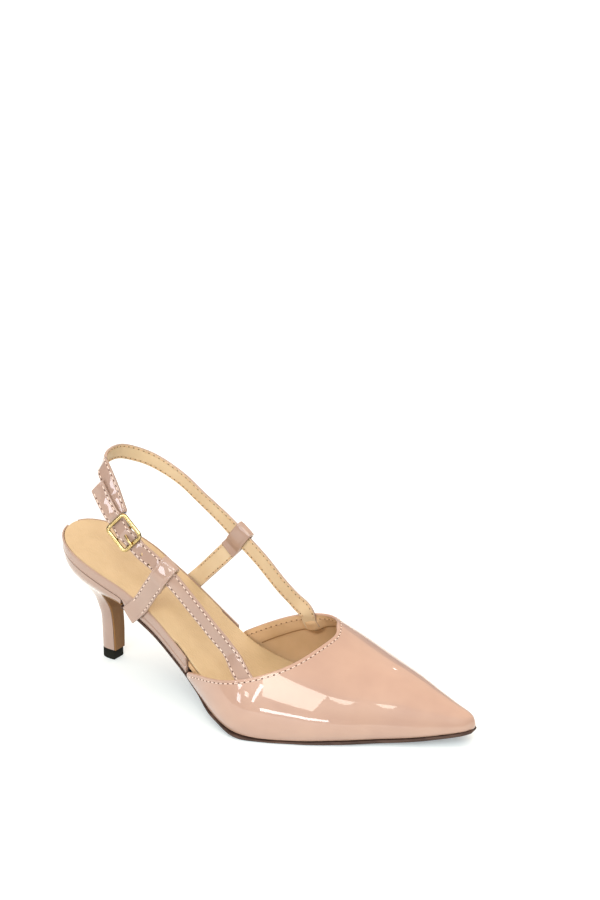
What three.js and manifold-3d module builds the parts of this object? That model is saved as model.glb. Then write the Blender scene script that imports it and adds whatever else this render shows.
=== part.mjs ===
import * as THREE from 'three';
import { mergeVertices } from 'three/addons/utils/BufferGeometryUtils.js';
import Module from 'manifold-3d';

// A right slingback pump with a slim flared heel and a pointed closed toe.
// Millimetres, +Z up. X runs from the back of the footbed to the toe, +Y is the inner side.
// The whole shoe is shifted so that the middle of the heel tip's floor face is the origin.

// Sizes of the last and footbed
const footbedLength = 240;
const seatHeight = 73.4;
const ballLevel = 7;
const toeSpring = 6.9;
const ballHalf = 38.5;
const swing = 13.7;
const seatRound = 30.6;
const seatFullness = 2.22;
const toeRound = 4;
const toeInset = 2;

// Sizes of the sole layers
const gap = 0.3;
const layerGap = 0.45;
const sockThickness = 1.8;
const sockLift = 0.5;
const rimWidth = 1;
const rimDrop = 0.4;
const rimStart = 0.3;
const seatEdge = 5.8;
const waistEdge = 9;
const ballEdge = 5.1;
const grooveDepth = 0.6;
const grooveHeight = 0.5;
const insideInset = 0.5;
const outsoleThickness = 2.2;
const outsoleInset = 0.6;
const outsoleRim = 0.7;

// Sizes of the heel
const heelWingEnd = 50;
const breastFront = 28.2;
const tipHeight = 5.5;
const tipDepth = 9.6;
const tipHalf = 4.2;
const neckDepth = 9.5;
const neckHalf = 4.8;
const neckMiddle = -0.9;
const heelMiddle = -0.6;
const flareStart = 25;
const breastCover = 0.8;
const seatOverhang = 1;

// Sizes of the vamp
const wall = 1.6;
const featherOffset = 1.8;
const wallBulge = 1.6;
const vampRear = 98.3;
const throatLimit = 172;
const instepHeight = 50;
const tuckShare = 0.14;
const innerToeGap = 7;

// Sizes of the straps, keeper loops and buckle
const strapWidth = 8.4;
const strapThickness = 1.4;
const strapRise = 40;
const ankleHalf = 32;
const ankleAt = 70;
const strapLean = 14;
const tailSkew = 2.8;
const tabWidth = 10;
const tabThickness = 1.3;
const tabSeam = 5;
const tabRun = 8;
const tabHem = 1;
const tabDrop = 2.2;
const tabEase = 0.5;
const holeSize = 1.9;
const holePitch = 7;
const holeCount = 2;
const buckleLength = 17;
const buckleSideGap = 1;
const buckleBar = 2.1;
const buckleThickness = 1.6;
const buckleCorner = 3;
const buckleBevel = 0.3;
const centreBar = 0.8;
const centreDrop = 1.4;
const prongWidth = 1.5;
const prongThickness = 1.1;
const slotWidth = 2.6;
const slotFront = 3.8;
const slotBack = 2.4;
const elasticWidth = 7;
const elasticThickness = 0.9;
const rootLay = 9;
const rootReach = 26;
const tailLength = 28;

// The last, one row a station. at: share of the footbed length. rise: share of the way from
// ball level to seat height. spring: share of the toe spring. half: share of the ball's half
// width. mid: share of the swing, outward being negative.
const lastRows = [
  { at: 0.0, rise: 1.0, spring: 0, half: 0.647, mid: 0.02 },
  { at: 0.0625, rise: 0.908, spring: 0, half: 0.647, mid: 0.01 },
  { at: 0.1458, rise: 0.796, spring: 0, half: 0.647, mid: -0.09 },
  { at: 0.2167, rise: 0.694, spring: 0, half: 0.6, mid: -0.24 },
  { at: 0.2917, rise: 0.563, spring: 0, half: 0.583, mid: -0.44 },
  { at: 0.3667, rise: 0.398, spring: 0, half: 0.612, mid: -0.67 },
  { at: 0.4375, rise: 0.233, spring: 0, half: 0.68, mid: -0.885 },
  { at: 0.5, rise: 0.103, spring: 0, half: 0.854, mid: -1.02 },
  { at: 0.5625, rise: 0.018, spring: 0, half: 0.985, mid: -1.0 },
  { at: 0.625, rise: 0, spring: 0, half: 1.0, mid: -0.71 },
  { at: 0.6875, rise: 0, spring: 0.03, half: 0.972, mid: -0.356 },
  { at: 0.7583, rise: 0, spring: 0.145, half: 0.837, mid: -0.121 },
  { at: 0.8333, rise: 0, spring: 0.26, half: 0.589, mid: -0.044 },
  { at: 0.8958, rise: 0, spring: 0.42, half: 0.393, mid: -0.04 },
  { at: 0.95, rise: 0, spring: 0.667, half: 0.21, mid: -0.02 },
  { at: 1.0, rise: 0, spring: 1.0, half: 0.055, mid: 0.02 },
];

// The upper's sections. ridge: share of the instep height. mid: share of the swing.
// outer and inner: how full each side is, 2 being an ellipse.
const upperRows = [
  { at: 0.4, ridge: 1.35, mid: 0.2, outer: 2, inner: 2 },
  { at: 0.5, ridge: 1.25, mid: 0.2, outer: 2, inner: 2 },
  { at: 0.6, ridge: 1.06, mid: 0.2, outer: 2, inner: 2 },
  { at: 0.655, ridge: 0.93, mid: 0.18, outer: 2, inner: 2 },
  { at: 0.69, ridge: 0.846, mid: 0.15, outer: 2, inner: 2 },
  { at: 0.72, ridge: 0.77, mid: 0.12, outer: 2, inner: 2 },
  { at: 0.76, ridge: 0.68, mid: 0.08, outer: 2, inner: 2 },
  { at: 0.8, ridge: 0.62, mid: 0.05, outer: 2, inner: 2 },
  { at: 0.845, ridge: 0.56, mid: 0.02, outer: 2, inner: 2 },
  { at: 0.9, ridge: 0.456, mid: 0, outer: 2, inner: 2 },
  { at: 0.95, ridge: 0.366, mid: 0, outer: 2, inner: 2 },
  { at: 0.985, ridge: 0.304, mid: 0, outer: 2, inner: 2 },
  { at: 1.0, ridge: 0.25, mid: 0, outer: 2, inner: 2 },
];

// The topline's height on each side, as shares of the instep height.
const toplineRows = [
  { at: 0.4, outer: 0.41, inner: 0.45 },
  { at: 0.48, outer: 0.5, inner: 0.64 },
  { at: 0.54, outer: 0.56, inner: 0.76 },
  { at: 0.6, outer: 0.64, inner: 0.84 },
  { at: 0.65, outer: 0.73, inner: 0.88 },
  { at: 0.69, outer: 0.86, inner: 0.9 },
  { at: 0.72, outer: 0.96, inner: 0.95 },
];

// The breast, from the heel tip up and round the arch. forward: share of the wing's end.
// up: share of the seat height.
const breastRows = [
  { forward: 0.564, up: 0.079 },
  { forward: 0.564, up: 0.272 },
  { forward: 0.548, up: 0.409 },
  { forward: 0.528, up: 0.48 },
  { forward: 0.53, up: 0.535 },
  { forward: 0.575, up: 0.592 },
  { forward: 0.67, up: 0.628 },
  { forward: 0.8, up: 0.64 },
  { forward: 0.92, up: 0.63 },
  { forward: 1.0, up: 0.609 },
];

// How far the heel has flared from its neck to the seat, at its back and at its front corners.
const flareRows = [
  { at: 0, back: 0, front: 0 },
  { at: 0.1, back: 0.07, front: 0.005 },
  { at: 0.2, back: 0.135, front: 0.015 },
  { at: 0.3, back: 0.24, front: 0.03 },
  { at: 0.4, back: 0.4, front: 0.08 },
  { at: 0.5, back: 0.57, front: 0.18 },
  { at: 0.6, back: 0.71, front: 0.36 },
  { at: 0.7, back: 0.84, front: 0.63 },
  { at: 0.8, back: 0.91, front: 0.88 },
  { at: 0.9, back: 0.97, front: 0.99 },
  { at: 1, back: 1, front: 1 },
];

// The straps' middle lines. at: share of the footbed length. side: share of the ankle's half
// width. up: share of the way from ball level to the strap's top. keeper marks the row where
// the keeper loop crosses.
const frontStrapRows = [
  { at: 0.5225, side: -1.281, up: 0.3013 },
  { at: 0.4692, side: -1.181, up: 0.3818 },
  { at: 0.4139, side: -1.081, up: 0.4681 },
  { at: 0.36, side: -1.0, up: 0.554 },
  { at: 0.337, side: -0.99, up: 0.589, keeper: true },
  { at: 0.314, side: -0.984, up: 0.625 },
];
const backStrapRows = [
  { at: 0.1583, side: -0.695, up: 1.024 },
  { at: 0.138, side: -0.5, up: 1.025 },
  { at: 0.1255, side: -0.3, up: 1.033 },
  { at: 0.1175, side: -0.03, up: 1.036 },
  { at: 0.1167, side: 0.25, up: 1.025 },
  { at: 0.1324, side: 0.5, up: 0.996 },
  { at: 0.1557, side: 0.64, up: 0.968 },
  { at: 0.1873, side: 0.734, up: 0.928 },
  { at: 0.2296, side: 0.797, up: 0.869 },
  { at: 0.2684, side: 0.834, up: 0.799 },
  { at: 0.3382, side: 0.844, up: 0.686 },
  { at: 0.3751, side: 0.8375, up: 0.619, keeper: true },
  { at: 0.41, side: 0.812, up: 0.562 },
  { at: 0.4357, side: 0.787, up: 0.52 },
  { at: 0.4893, side: 0.7312, up: 0.4196 },
  { at: 0.528, side: 0.6812, up: 0.3624 },
  { at: 0.5667, side: 0.578, up: 0.3214 },
];

// How far the back strap leans on the inner side. at: share of the strap's top. lean: degrees.
const innerLeanRows = [
  { at: 0.36, lean: 4 },
  { at: 0.43, lean: -10 },
  { at: 0.52, lean: -10 },
  { at: 0.9, lean: strapLean },
  { at: 1.1, lean: strapLean },
];

// Where each strap is sewn inside the vamp. at: share of the footbed length. girth: share of
// the way from the feather line to the ridge.
const frontRootRows = [
  { at: 0.592, girth: 0.345 },
  { at: 0.57, girth: 0.385 },
];
const backRootRows = [
  { at: 0.5725, girth: 0.487 },
  { at: 0.578, girth: 0.435 },
];

// The front strap in its buckle. along: share of the way from the middle bar to an end bar, the
// tail being positive. rise: share of the way from under the end bars to over the middle bar.
// across: share of the strap's width, upwards being negative.
const fastenedRows = [
  { along: -1.61, rise: 0.04, across: -0.036 },
  { along: -1, rise: 0, across: 0 },
  { along: -0.5, rise: 0.38, across: 0 },
  { along: 0, rise: 1, across: 0 },
  { along: 0.5, rise: 0.38, across: 0 },
  { along: 1, rise: 0, across: 0 },
  { along: 1.61, rise: 0.08, across: 0 },
  { along: 2.68, rise: 0, across: -0.167 },
];
const tailEnd = { rise: 0.17, across: -0.44 };

// Where the back strap starts, under the tail.
const backStartRows = [
  { along: 1.29, across: -0.393 },
  { along: 2.215, across: -0.702 },
  { along: 2.82, across: -0.905 },
];

// The elastic, from the middle bar to under the back strap. sink: share of the way inwards.
const elasticRows = [
  { along: 0.47, sink: 0.25, across: -0.083 },
  { along: 1, sink: 0.45, across: -0.226 },
  { along: 1.235, sink: 1, across: -0.35 },
  { along: 2.01, sink: 1, across: -0.62 },
  { along: 2.68, sink: 1.04, across: -0.857 },
];

// The buckle's middle and pitch, and where the keeper tabs leave the sole's edge
const buckleAt = 0.2345;
const buckleSide = -0.984;
const buckleUp = 0.7496;
const bucklePitch = 43;
const buckleYaw = -2.3;
const outerFoot = 0.236;
const innerFoot = 0.244;

const colours = {
  patent: { color: 0xd6b0a0, roughness: 0.12, metalness: 0 },
  lining: { color: 0xebc89b, roughness: 0.6, metalness: 0 },
  sole: { color: 0x4b3730, roughness: 0.5, metalness: 0 },
  breast: { color: 0x966941, roughness: 0.55, metalness: 0 },
  tip: { color: 0x323028, roughness: 0.6, metalness: 0 },
  gold: { color: 0xc8aa64, roughness: 0.2, metalness: 1 },
  elastic: { color: 0xdde2ea, roughness: 0.9, metalness: 0 },
};

const wasm = await Module();
wasm.setup();
const shoe = new THREE.Group();
const tipMiddle = breastFront - tipDepth / 2;
shoe.position.set(-tipMiddle, -heelMiddle, 0);

// Curve helpers

// Height of a smooth curve through one column of a table, without overshoot.
function through(rows, column, at) {
  const last = rows.length - 1;
  const step = (i) => (rows[i + 1][column] - rows[i][column]) / (rows[i + 1].at - rows[i].at);
  const slope = (i) => {
    if (i === 0) return step(0);
    if (i === last) return step(last - 1);
    const before = step(i - 1);
    const after = step(i);
    return before * after <= 0 ? 0 : (2 * before * after) / (before + after);
  };
  if (at <= rows[0].at) return rows[0][column] + slope(0) * (at - rows[0].at);
  if (at >= rows[last].at) return rows[last][column] + slope(last) * (at - rows[last].at);
  let i = 0;
  while (at > rows[i + 1].at) i += 1;
  const width = rows[i + 1].at - rows[i].at;
  const t = (at - rows[i].at) / width;
  const u = 1 - t;
  return rows[i][column] * u * u * (1 + 2 * t) + rows[i + 1][column] * t * t * (3 - 2 * t)
    + slope(i) * width * t * u * u - slope(i + 1) * width * t * t * u;
}

const mix = (a, b, share) => a + (b - a) * share;
const toeEnd = footbedLength - toeInset;

// Footbed height, half width and middle at a distance from the back.
function footbedZ(x) {
  const at = x / footbedLength;
  return ballLevel + through(lastRows, 'rise', at) * (seatHeight - ballLevel)
    + through(lastRows, 'spring', at) * toeSpring;
}

function footbedHalf(x) {
  const backShare = Math.max(0, 1 - x / seatRound);
  const toeShare = Math.max(0, (x - toeEnd + toeRound) / toeRound);
  const round = Math.max(0, 1 - backShare ** seatFullness) ** (1 / seatFullness)
    * Math.sqrt(Math.max(0, 1 - toeShare ** 2));
  return through(lastRows, 'half', x / footbedLength) * ballHalf * round;
}

function footbedMid(x) {
  return through(lastRows, 'mid', x / footbedLength) * swing;
}

// A point on the footbed's outline, moved outwards by an offset. side is -1 outer, +1 inner.
function outline(x, side, offset) {
  const step = 0.02;
  const y = (at) => footbedMid(at) + side * footbedHalf(at);
  const slope = (y(x + step) - y(x - step)) / (2 * step);
  const size = Math.hypot(1, slope);
  return new THREE.Vector2(x - (side * slope * offset) / size, y(x) + (side * offset) / size);
}

// Depth of the footbed board's lower edge under the footbed.
function edgeDepth(x) {
  if (x <= heelWingEnd) return seatEdge;
  return x < vampRear ? waistEdge : featherDepth(x);
}

const featherRows = [
  { at: 0.2, depth: 1 },
  { at: 0.4, depth: 1 },
  { at: 0.47, depth: 0.62 },
  { at: 0.55, depth: 0 },
  { at: 1, depth: 0 },
];

// Depth of the feather line, where the upper meets the outsole.
function featherDepth(x) {
  return mix(ballEdge, waistEdge, through(featherRows, 'depth', x / footbedLength));
}

const featherZ = (x) => footbedZ(x) - featherDepth(x);

// Solid helpers

function geometryOf(vertices, triangles) {
  const geometry = new THREE.BufferGeometry();
  geometry.setAttribute('position', new THREE.Float32BufferAttribute(vertices, 3));
  geometry.setIndex(triangles);
  return geometry;
}

function signedVolume(geometry) {
  const p = geometry.getAttribute('position');
  const index = geometry.getIndex();
  const a = new THREE.Vector3();
  const b = new THREE.Vector3();
  const c = new THREE.Vector3();
  let sum = 0;
  for (let i = 0; i < index.count; i += 3) {
    a.fromBufferAttribute(p, index.getX(i));
    b.fromBufferAttribute(p, index.getX(i + 1));
    c.fromBufferAttribute(p, index.getX(i + 2));
    sum += a.dot(b.cross(c)) / 6;
  }
  return sum;
}

function outward(geometry) {
  if (signedVolume(geometry) < 0) {
    const index = Array.from(geometry.getIndex().array);
    geometry.setIndex(index.reverse());
  }
  return geometry;
}

// A closed body through rings of as many points. Each end is closed by strips between the
// ring's first and last points, second and last but one, and so on.
function loft(rings) {
  const size = rings[0].length;
  const vertices = rings.flat().flatMap((p) => [p.x, p.y, p.z]);
  const triangles = [];
  for (let i = 0; i + 1 < rings.length; i += 1) {
    for (let j = 0; j < size; j += 1) {
      const a = i * size + j;
      const b = i * size + ((j + 1) % size);
      triangles.push(a, b, a + size, b, b + size, a + size);
    }
  }
  const end = (rings.length - 1) * size;
  for (let j = 0; j < size / 2 - 1; j += 1) {
    const k = size - 1 - j;
    triangles.push(j, k, j + 1, j + 1, k, k - 1);
    triangles.push(end + j, end + j + 1, end + k, end + j + 1, end + k - 1, end + k);
  }
  return outward(geometryOf(vertices, triangles));
}

function toSolid(geometry) {
  const plain = geometry.clone();
  plain.deleteAttribute('normal');
  plain.deleteAttribute('uv');
  const merged = mergeVertices(plain, 1e-4);
  return new wasm.Manifold(new wasm.Mesh({
    numProp: 3,
    vertProperties: new Float32Array(merged.getAttribute('position').array),
    triVerts: new Uint32Array(merged.getIndex().array),
  }));
}

function fromSolid(solid) {
  const mesh = solid.getMesh();
  const vertices = [];
  for (let i = 0; i < mesh.vertProperties.length; i += mesh.numProp) {
    vertices.push(...mesh.vertProperties.slice(i, i + 3));
  }
  return geometryOf(vertices, Array.from(mesh.triVerts));
}

// A prism whose outline is drawn in X and Z and which runs across the shoe in Y.
function crossPrism(points, halfWidth) {
  const shape = new THREE.Shape(points.map(([x, z]) => new THREE.Vector2(x, z)));
  const prism = new THREE.ExtrudeGeometry(shape, { depth: 2 * halfWidth, bevelEnabled: false });
  prism.translate(0, 0, -halfWidth);
  prism.rotateX(Math.PI / 2);
  return prism;
}

function addPiece(name, finish, geometry) {
  const piece = new THREE.Mesh(geometry, new THREE.MeshStandardMaterial(colours[finish]));
  piece.name = name;
  shoe.add(piece);
}

// Sole layers

// Stations along the footbed, close together round the seat and the toe.
function stationsBetween(from, to) {
  const list = [];
  const seatSteps = 8;
  for (let i = 1; i <= seatSteps; i += 1) {
    const angle = (Math.PI / 2) * mix(0.08, 1, (i - 1) / (seatSteps - 1));
    list.push(seatRound * (1 - Math.cos(angle)));
  }
  const bodySteps = 30;
  const toeStart = toeEnd - toeRound;
  for (let i = 1; i <= bodySteps; i += 1) {
    list.push(mix(seatRound, toeStart, i / bodySteps));
  }
  for (const share of [0.45, 0.8, 0.97]) {
    list.push(toeStart + toeRound * share);
  }
  const inside = list.filter((x) => x > from + 0.5 && x < to - 0.5);
  const first = from > 0 ? [from] : [];
  const final = to < toeEnd ? [to] : [];
  return [...first, ...(from > 0 ? inside : list.filter((x) => x < to - 0.5)), ...final];
}

// A layer whose edge profile is given at each station as offset and depth, top to bottom.
function layer(stations, profileAt) {
  const rings = stations.map((x) => {
    const profile = profileAt(x);
    const points = (side) => profile.map(({ offset = 0, inward = 0, depth, z }) => {
      const edge = outline(x, side, offset);
      const y = mix(edge.y, footbedMid(x), inward);
      return new THREE.Vector3(edge.x, y, z === undefined ? footbedZ(edge.x) - depth : z);
    });
    return [...points(-1), ...points(1).reverse()];
  });
  return loft(rings);
}

function sockLining() {
  const end = toeEnd - innerToeGap;
  return layer(stationsBetween(0, end), (x) => {
    const inset = x > vampRear - 12 ? 2 * insideInset : 0;
    return [
      { inward: 0.5, depth: -sockLift },
      { offset: -inset, inward: 0.14, depth: 0 },
      { offset: -inset - 0.2, depth: 0.25 },
      { offset: -inset, depth: 0.9 },
      { offset: -inset, depth: sockThickness },
      { inward: 0.9, depth: sockThickness },
    ];
  });
}

function insoleBoard() {
  const end = toeEnd - innerToeGap;
  const step = 0.4;
  const stations = [
    ...stationsBetween(0, heelWingEnd),
    ...stationsBetween(heelWingEnd + gap, vampRear - 2),
    ...stationsBetween(vampRear - 2 + step, end),
  ];
  const floor = sockThickness + layerGap;
  return layer(stations, (x) => {
    const free = x < vampRear - 1.9;
    const outer = free ? rimStart + rimWidth : -insideInset;
    const inner = free ? rimStart : -insideInset - 0.3;
    const band = free ? seatEdge : ballEdge - 1.4;
    const low = Math.max(edgeDepth(x), band + 2 * grooveHeight);
    const notch = free && x > heelWingEnd ? grooveDepth : 0;
    return [
      { inward: 0.9, depth: floor },
      { offset: inner, depth: floor },
      { offset: inner + 0.05, depth: free ? rimDrop : floor },
      { offset: inner + 0.3, depth: free ? rimDrop - 0.2 : floor },
      { offset: outer - 0.3, depth: free ? rimDrop : floor + 0.1 },
      { offset: outer, depth: free ? rimDrop + 0.6 : floor + 0.3 },
      { offset: outer, depth: band - grooveHeight - 0.5 * notch },
      { offset: outer - notch, depth: band - 0.4 },
      { offset: outer - 0.4 * notch, depth: mix(band, low, free ? 0.25 : 0.9) },
      { offset: outer - 0.4 * notch, depth: edgeDepth(x) },
    ];
  });
}

function outsole() {
  const start = heelWingEnd + gap;
  return layer(stationsBetween(start, toeEnd), (x) => {
    const forepart = THREE.MathUtils.smoothstep(x, vampRear - 4, vampRear + 14);
    const edge = mix(featherOffset - outsoleInset, featherOffset + outsoleRim, forepart);
    const top = featherZ(x) - layerGap;
    const bottom = Math.max(0, top - outsoleThickness);
    const middle = mix(top, bottom, 0.55);
    return [
      { offset: edge - 0.4, z: top },
      { offset: edge, z: mix(top, bottom, 0.15) },
      { offset: edge, z: middle },
      { offset: edge - 0.6, z: mix(top, bottom, 0.9) },
      { offset: edge - 1.6, z: bottom },
    ];
  });
}

// Heel

// One ring of the heel, from its outer front corner round the back to its inner one.
const heelSteps = 20;

function neckPoint(share, depth, half, middle, front = breastFront) {
  const angle = (Math.abs(share) * Math.PI) / 2;
  const x = front - depth * Math.cos(angle);
  return new THREE.Vector2(x, middle + Math.sign(share) * half * Math.sin(angle) ** 0.8);
}

function seatPoint(share) {
  const angle = (Math.abs(share) * Math.PI) / 2;
  const x = (heelWingEnd - 2 * gap) * (1 - Math.cos(angle));
  const side = share < 0 ? -1 : 1;
  return outline(Math.max(x, 0.02), side, seatOverhang);
}

function heelShares() {
  return Array.from({ length: heelSteps }, (_, i) => (2 * i) / (heelSteps - 1) - 1);
}

// Rings of the heel. reach moves the front corners forward, for the breast cover's outline.
function heelRings(reach) {
  const seam = (x) => footbedZ(x) - seatEdge - layerGap;
  const close = (points) => {
    if (reach === 0) return points;
    const ahead = (p) => new THREE.Vector3(p.x + reach, p.y, p.z);
    return [ahead(points[0]), ...points, ahead(points[points.length - 1])];
  };
  const low = [tipHeight + gap, mix(tipHeight, flareStart, 0.5)].map((z, i) => {
    const grown = i * 0.5;
    return close(heelShares().map((share) => {
      const depth = mix(tipDepth, neckDepth, grown);
      const half = mix(tipHalf, neckHalf, grown);
      const p = neckPoint(share, depth, half, mix(heelMiddle, neckMiddle, grown));
      return new THREE.Vector3(p.x, p.y, z);
    }));
  });
  const high = flareRows.map((row) => close(heelShares().map((share) => {
    const neck = neckPoint(share, neckDepth, neckHalf, neckMiddle);
    const seat = seatPoint(share);
    const flare = mix(row.back, row.front, Math.abs(share) ** 1.5);
    const x = mix(neck.x, seat.x, flare);
    return new THREE.Vector3(x, mix(neck.y, seat.y, flare), mix(flareStart, seam(seat.x), row.at));
  })));
  return [...low, ...high];
}

// The breast's curve as points in X and Z, moved forward and down by an offset.
function breastLine(offset) {
  const line = breastRows.map(({ forward, up }) => new THREE.Vector3(
    forward * heelWingEnd, 0, up * seatHeight));
  const curve = new THREE.CatmullRomCurve3(line, false, 'centripetal');
  const steps = 26;
  return Array.from({ length: steps + 1 }, (_, i) => {
    const p = curve.getPoint(i / steps);
    const t = curve.getTangent(i / steps);
    return [p.x + t.z * offset, p.z - t.x * offset];
  });
}

function heel() {
  const line = breastLine(0);
  const ahead = heelWingEnd + 40;
  const [endX, endZ] = line[line.length - 1];
  const [startX] = line[0];
  const front = crossPrism([[startX, -5], ...line, [endX, endZ], [ahead, endZ], [ahead, -5]]
    .filter((p, i, all) => i === 0 || Math.hypot(p[0] - all[i - 1][0], p[1] - all[i - 1][1]) > 0.01),
  ballHalf * 2);
  return fromSolid(toSolid(loft(heelRings(0))).subtract(toSolid(front)));
}

function heelBreast() {
  const near = breastLine(gap);
  const far = breastLine(gap + breastCover);
  const strip = crossPrism([...near, ...far.reverse()], ballHalf * 2);
  return fromSolid(toSolid(loft(heelRings(heelWingEnd))).intersect(toSolid(strip)));
}

function heelTip() {
  const ring = (z, inset) => heelShares().map((share) => {
    const front = breastFront - inset;
    const p = neckPoint(share, tipDepth - 2 * inset, tipHalf - inset, heelMiddle, front);
    return new THREE.Vector3(p.x, p.y, z);
  });
  return loft([ring(0, 0.3), ring(0.5, 0), ring(tipHeight, 0)]);
}

// Vamp

function ridgePoint(x) {
  const at = x / footbedLength;
  const y = through(upperRows, 'mid', at) * swing;
  return new THREE.Vector3(x, y, through(upperRows, 'ridge', at) * instepHeight);
}

// A point of the upper's outer face. share is 0 at the feather line and 1 on the ridge.
function upperPoint(x, side, share) {
  const low = featherZ(x);
  const ridge = ridgePoint(x);
  const tuck = tuckShare * (ridge.z - low);
  const bulge = wallBulge * Math.min(1, (ridge.z - low) / (0.6 * instepHeight));
  const turn = 0.12;
  if (share < turn) {
    const up = share / turn;
    const edge = outline(x, side, featherOffset + bulge * (1 - (1 - up) ** 2));
    return new THREE.Vector3(edge.x, edge.y, low + tuck * up);
  }
  const angle = (((share - turn) / (1 - turn)) * Math.PI) / 2;
  const fullness = through(upperRows, side < 0 ? 'outer' : 'inner', x / footbedLength);
  const edge = outline(x, side, featherOffset + bulge);
  const out = Math.max(0, Math.cos(angle)) ** (2 / fullness);
  const up = Math.sin(angle) ** (2 / fullness);
  return new THREE.Vector3(
    mix(ridge.x, edge.x, out), mix(ridge.y, edge.y, out), mix(low + tuck, ridge.z, up));
}

// The same point, moved inwards through the wall.
function upperInside(x, side, share, depth) {
  const step = 0.01;
  const a = upperPoint(x - 0.1, side, share);
  const b = upperPoint(x + 0.1, side, share);
  const along = b.sub(a);
  const below = upperPoint(x, side, Math.max(0, share - step));
  const above = upperPoint(x, side, Math.min(1, share + step));
  const normal = along.cross(above.sub(below)).normalize().multiplyScalar(-side);
  if (share === 0) normal.setZ(0).normalize();
  if (share === 1) normal.setY(0).normalize();
  return upperPoint(x, side, share).addScaledVector(normal, -depth);
}

// Where the topline starts on one girth line.
function toplineStart(side, share) {
  const column = side < 0 ? 'outer' : 'inner';
  const over = (x) => upperPoint(x, side, share).z
    - through(toplineRows, column, x / footbedLength) * instepHeight;
  if (over(vampRear) <= 0) return vampRear;
  let low = vampRear;
  let high = throatLimit;
  for (let i = 0; i < 40; i += 1) {
    const middle = (low + high) / 2;
    if (over(middle) > 0) low = middle;
    else high = middle;
  }
  return low;
}

const girthShares = [0, 0.06, 0.12, 0.17, 0.22, 0.27, 0.32, 0.38, 0.45, 0.53, 0.62, 0.72, 0.82,
  0.91, 1];
const vampShares = [0, 0.03, 0.07, 0.12, 0.18, 0.25, 0.32, 0.4, 0.48, 0.56, 0.64, 0.71, 0.78,
  0.84, 0.89, 0.93, 0.96, 0.98, 0.995];

function vamp() {
  const lines = [
    ...girthShares.map((share) => ({ side: -1, share })),
    ...girthShares.slice(0, -1).reverse().map((share) => ({ side: 1, share })),
  ];
  const starts = lines.map(({ side, share }) => toplineStart(side, share));
  const grid = (depth, end) => vampShares.map((along) => lines.map(({ side, share }, j) => {
    const x = mix(starts[j], end, along);
    return depth > 0 ? upperInside(x, side, share, depth) : upperPoint(x, side, share);
  }));
  const outer = grid(0, toeEnd);
  const inner = grid(wall, toeEnd - innerToeGap + 2);
  const width = lines.length;
  const rows = vampShares.length;
  const points = [...outer, ...inner].flat();
  const out = (i, j) => i * width + j;
  const into = (i, j) => (rows + i) * width + j;
  const triangles = [];
  const quad = (a, b, c, d) => {
    const straight = points[a].distanceTo(points[c]) <= points[b].distanceTo(points[d]);
    if (straight) triangles.push(a, b, c, a, c, d);
    else triangles.push(a, b, d, b, c, d);
  };
  for (let i = 0; i + 1 < rows; i += 1) {
    for (let j = 0; j + 1 < width; j += 1) {
      quad(out(i, j), out(i, j + 1), out(i + 1, j + 1), out(i + 1, j));
      quad(into(i, j), into(i + 1, j), into(i + 1, j + 1), into(i, j + 1));
    }
    quad(out(i, 0), out(i + 1, 0), into(i + 1, 0), into(i, 0));
    quad(out(i, width - 1), into(i, width - 1), into(i + 1, width - 1), out(i + 1, width - 1));
  }
  for (let j = 0; j + 1 < width; j += 1) {
    quad(out(0, j), into(0, j), into(0, j + 1), out(0, j + 1));
  }
  const end = rows - 1;
  const half = (width - 1) / 2;
  for (let j = 0; j < half; j += 1) {
    const k = width - 1 - j;
    if (j + 1 === k - 1) {
      triangles.push(out(end, j), out(end, j + 1), out(end, k));
      triangles.push(into(end, j), into(end, k), into(end, j + 1));
    } else {
      quad(out(end, j), out(end, j + 1), out(end, k - 1), out(end, k));
      quad(into(end, j), into(end, k), into(end, k - 1), into(end, j + 1));
    }
  }
  quad(out(end, 0), out(end, width - 1), into(end, width - 1), into(end, 0));
  return outward(geometryOf(points.flatMap((p) => [p.x, p.y, p.z]), triangles));
}

// Straps

const rad = THREE.MathUtils.degToRad;
const strapTop = seatHeight + strapRise;

function strapPoint({ at, side, up }) {
  return new THREE.Vector3(
    at * footbedLength, side * ankleHalf, mix(ballLevel, strapTop, up));
}

// The straps' width stands up and leans towards the ankle's middle, less so low on the inner side.
function strapUp(centre) {
  const ankle = new THREE.Vector3(ankleAt - centre.x, -centre.y, 0).normalize();
  const lean = centre.y < 0 ? strapLean : through(innerLeanRows, 'lean', centre.z / strapTop);
  return ankle.multiplyScalar(Math.tan(rad(lean))).setZ(1).normalize();
}

// The buckle's own axes: along the strap, across it and away from the foot.
const buckleCentre = strapPoint({ at: buckleAt, side: buckleSide, up: buckleUp });
const buckleAlong = new THREE.Vector3(
  -Math.cos(rad(bucklePitch)) * Math.cos(rad(buckleYaw)),
  -Math.cos(rad(bucklePitch)) * Math.sin(rad(buckleYaw)),
  Math.sin(rad(bucklePitch)));
const buckleOut = new THREE.Vector3().crossVectors(strapUp(buckleCentre), buckleAlong).normalize();
const buckleAcross = new THREE.Vector3().crossVectors(buckleOut, buckleAlong).normalize();

function onBuckle(along, out, across = 0) {
  return buckleCentre.clone()
    .addScaledVector(buckleAlong, along)
    .addScaledVector(buckleOut, out)
    .addScaledVector(buckleAcross, across);
}

// Behind the buckle the straps lie flat on each other, and in front the strap turns to its lean.
function besideBuckle(centre) {
  const reach = centre.distanceTo(buckleCentre) / buckleLength;
  const [from, to] = centre.z > buckleCentre.z ? [1.8, 2.8] : [0.7, 1.4];
  return buckleAcross.clone().negate()
    .lerp(strapUp(centre), THREE.MathUtils.smoothstep(reach, from, to));
}

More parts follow.
